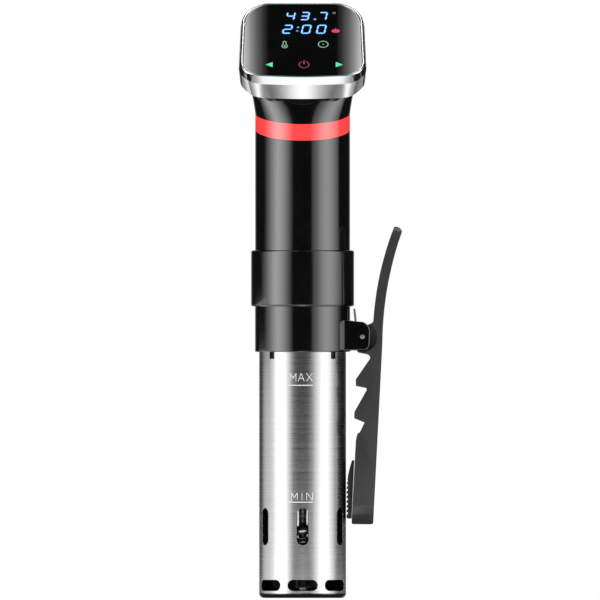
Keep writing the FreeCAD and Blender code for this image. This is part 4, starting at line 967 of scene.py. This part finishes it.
LEFT_PROFILE = [(0.0, 0.0), (0.1, 0.04), (0.27, 0.26), (0.42, 0.68), (0.53, 1.0), (0.65, 0.80), (0.78, 0.46),
                (0.88, 0.22), (0.95, 0.1), (1.0, 0.03)]
RIGHT_PROFILE = [(0.0, 0.0), (0.03, 0.14), (0.2, 0.37), (0.35, 0.78), (0.5, 1.0), (0.62, 0.82), (0.8, 0.44),
                 (0.95, 0.2), (1.0, 0.05)]
softbox("left_softbox", -66, 1.1, 1.6, (2.9, 2.7), 2.35, LEFT_PROFILE)
softbox("right_softbox", 60, 1.1, 1.6, (2.6, 2.7), 1.9, RIGHT_PROFILE)
EVEN = [(0.0, 0.4), (0.5, 1.0), (1.0, 0.4)]
softbox("back_softbox", 180, 0.4, 1.8, (1.6, 1.8), 0.35, EVEN)
softbox("back_overhead", 180, 0.36, 1.6, (1.0, 0.5), 1.2, EVEN, elevation=52)
softbox("left_edge_strip", -108, 0.075, 0.5, (0.4, 0.17), 0.75, EVEN)

GROWING = [(0.0, 0.0), (0.13, 0.02), (0.29, 0.075), (0.44, 0.17), (0.59, 0.34), (0.75, 0.58), (0.92, 0.88),
           (1.0, 1.0)]
OVERHEAD_HEIGHT, OVERHEAD_INNER, OVERHEAD_SIZE = 1.3, 0.032, (0.185, 0.5)
overhead_x = OVERHEAD_INNER + OVERHEAD_SIZE[0] / 2
for name, side, profile in (("overhead_left", -1, reversed_profile(GROWING)),
                            ("overhead_right", 1, GROWING)):
    panel_light(name, (side * overhead_x, 0.165, OVERHEAD_HEIGHT), (0, 0, 0), OVERHEAD_SIZE, 8.0, profile)

FACE_UP = (math.pi, 0, 0)
CARD_HEIGHT = cad_box[0].z + 0.001
panel_light("front_card", (0, -0.47, CARD_HEIGHT), FACE_UP, (1.8, 0.28), 1.15,
            mirrored([(0.0, 1.0), (0.1, 0.95), (0.22, 0.65), (0.45, 0.36), (0.85, 0.1), (1.0, 0.0)]))
panel_light("near_card", (0, -0.185, CARD_HEIGHT), FACE_UP, (0.15, 0.28), 1.2,
            mirrored([(0.0, 1.0), (0.2, 0.84), (0.41, 0.52), (0.61, 0.26), (0.8, 0.13), (1.0, 0.25)]))
SIDE_CARD = [(0.0, 0.25), (0.08, 0.6), (0.16, 0.95), (0.28, 0.95), (0.45, 0.5), (0.7, 0.2), (1.0, 0.05)]
for name, side, profile in (("left_card", -1, reversed_profile(SIDE_CARD)), ("right_card", 1, SIDE_CARD)):
    panel_light(name, (side * 0.325, -0.05, CARD_HEIGHT), FACE_UP, (0.5, 0.55), 1.1, profile)

for name, side in (("back_left_card", -1), ("back_right_card", 1)):
    panel_light(name, (side * 0.75, 0.8, CARD_HEIGHT), FACE_UP, (0.9, 1.1), 0.3, EVEN)

floor_lamp_data = bpy.data.lights.new("floor_light", "SUN")
floor_lamp_data.energy = 3.6
floor_lamp_data.angle = math.radians(40)
floor_lamp = in_scene("floor_light", floor_lamp_data)
floor_lamp.location = (0, 0, 2)
floor_lamp.visible_glossy = False

world = bpy.data.worlds.new("studio")
bpy.context.scene.world = world
world.use_nodes = True
sky = world.node_tree
sky.nodes.clear()
seen = add(sky, "ShaderNodeBackground", {"Color": (1, 1, 1, 1), "Strength": 1.0})
ambient = add(sky, "ShaderNodeBackground", {"Color": (1, 1, 1, 1), "Strength": 0.012})
camera_ray = add(sky, "ShaderNodeLightPath").outputs["Is Camera Ray"]
blend_sky = add(sky, "ShaderNodeMixShader", {0: camera_ray, 1: ambient.outputs[0], 2: seen.outputs[0]})
add(sky, "ShaderNodeOutputWorld", {"Surface": blend_sky.outputs[0]})

floor_material, floor_tree, floor_shader = surface("pale_floor", Roughness=0.7)
join(floor_tree, tint(floor_tree, noise(floor_tree, (6, 6, 6), 3), (0.80, 0.80, 0.80), (0.84, 0.84, 0.84)),
     floor_shader, "Base Color")
FLOOR_REACH, FLOOR_GAP = 12.0, 0.0002
floor_mesh = bpy.data.meshes.new("floor")
floor_mesh.from_pydata([(-FLOOR_REACH, -FLOOR_REACH, 0), (FLOOR_REACH, -FLOOR_REACH, 0),
                        (FLOOR_REACH, FLOOR_REACH, 0), (-FLOOR_REACH, FLOOR_REACH, 0)], [], [(0, 1, 2, 3)])
floor_mesh.materials.append(floor_material)
floor = in_scene("floor", floor_mesh)
floor.location.z = cad_box[0].z - FLOOR_GAP
floor.visible_glossy = False

VIEW_HEIGHT, VIEW_FROM = 0.387, (-0.00168, -1.3, 0.1922)
camera_data = bpy.data.cameras.new("camera")
camera_data.type = "ORTHO"
camera_data.ortho_scale = VIEW_HEIGHT
camera = in_scene("camera", camera_data)
camera.location = VIEW_FROM
camera.rotation_euler = (math.radians(90), 0, 0)
bpy.context.scene.camera = camera
bpy.context.scene.view_settings.view_transform = "Standard"
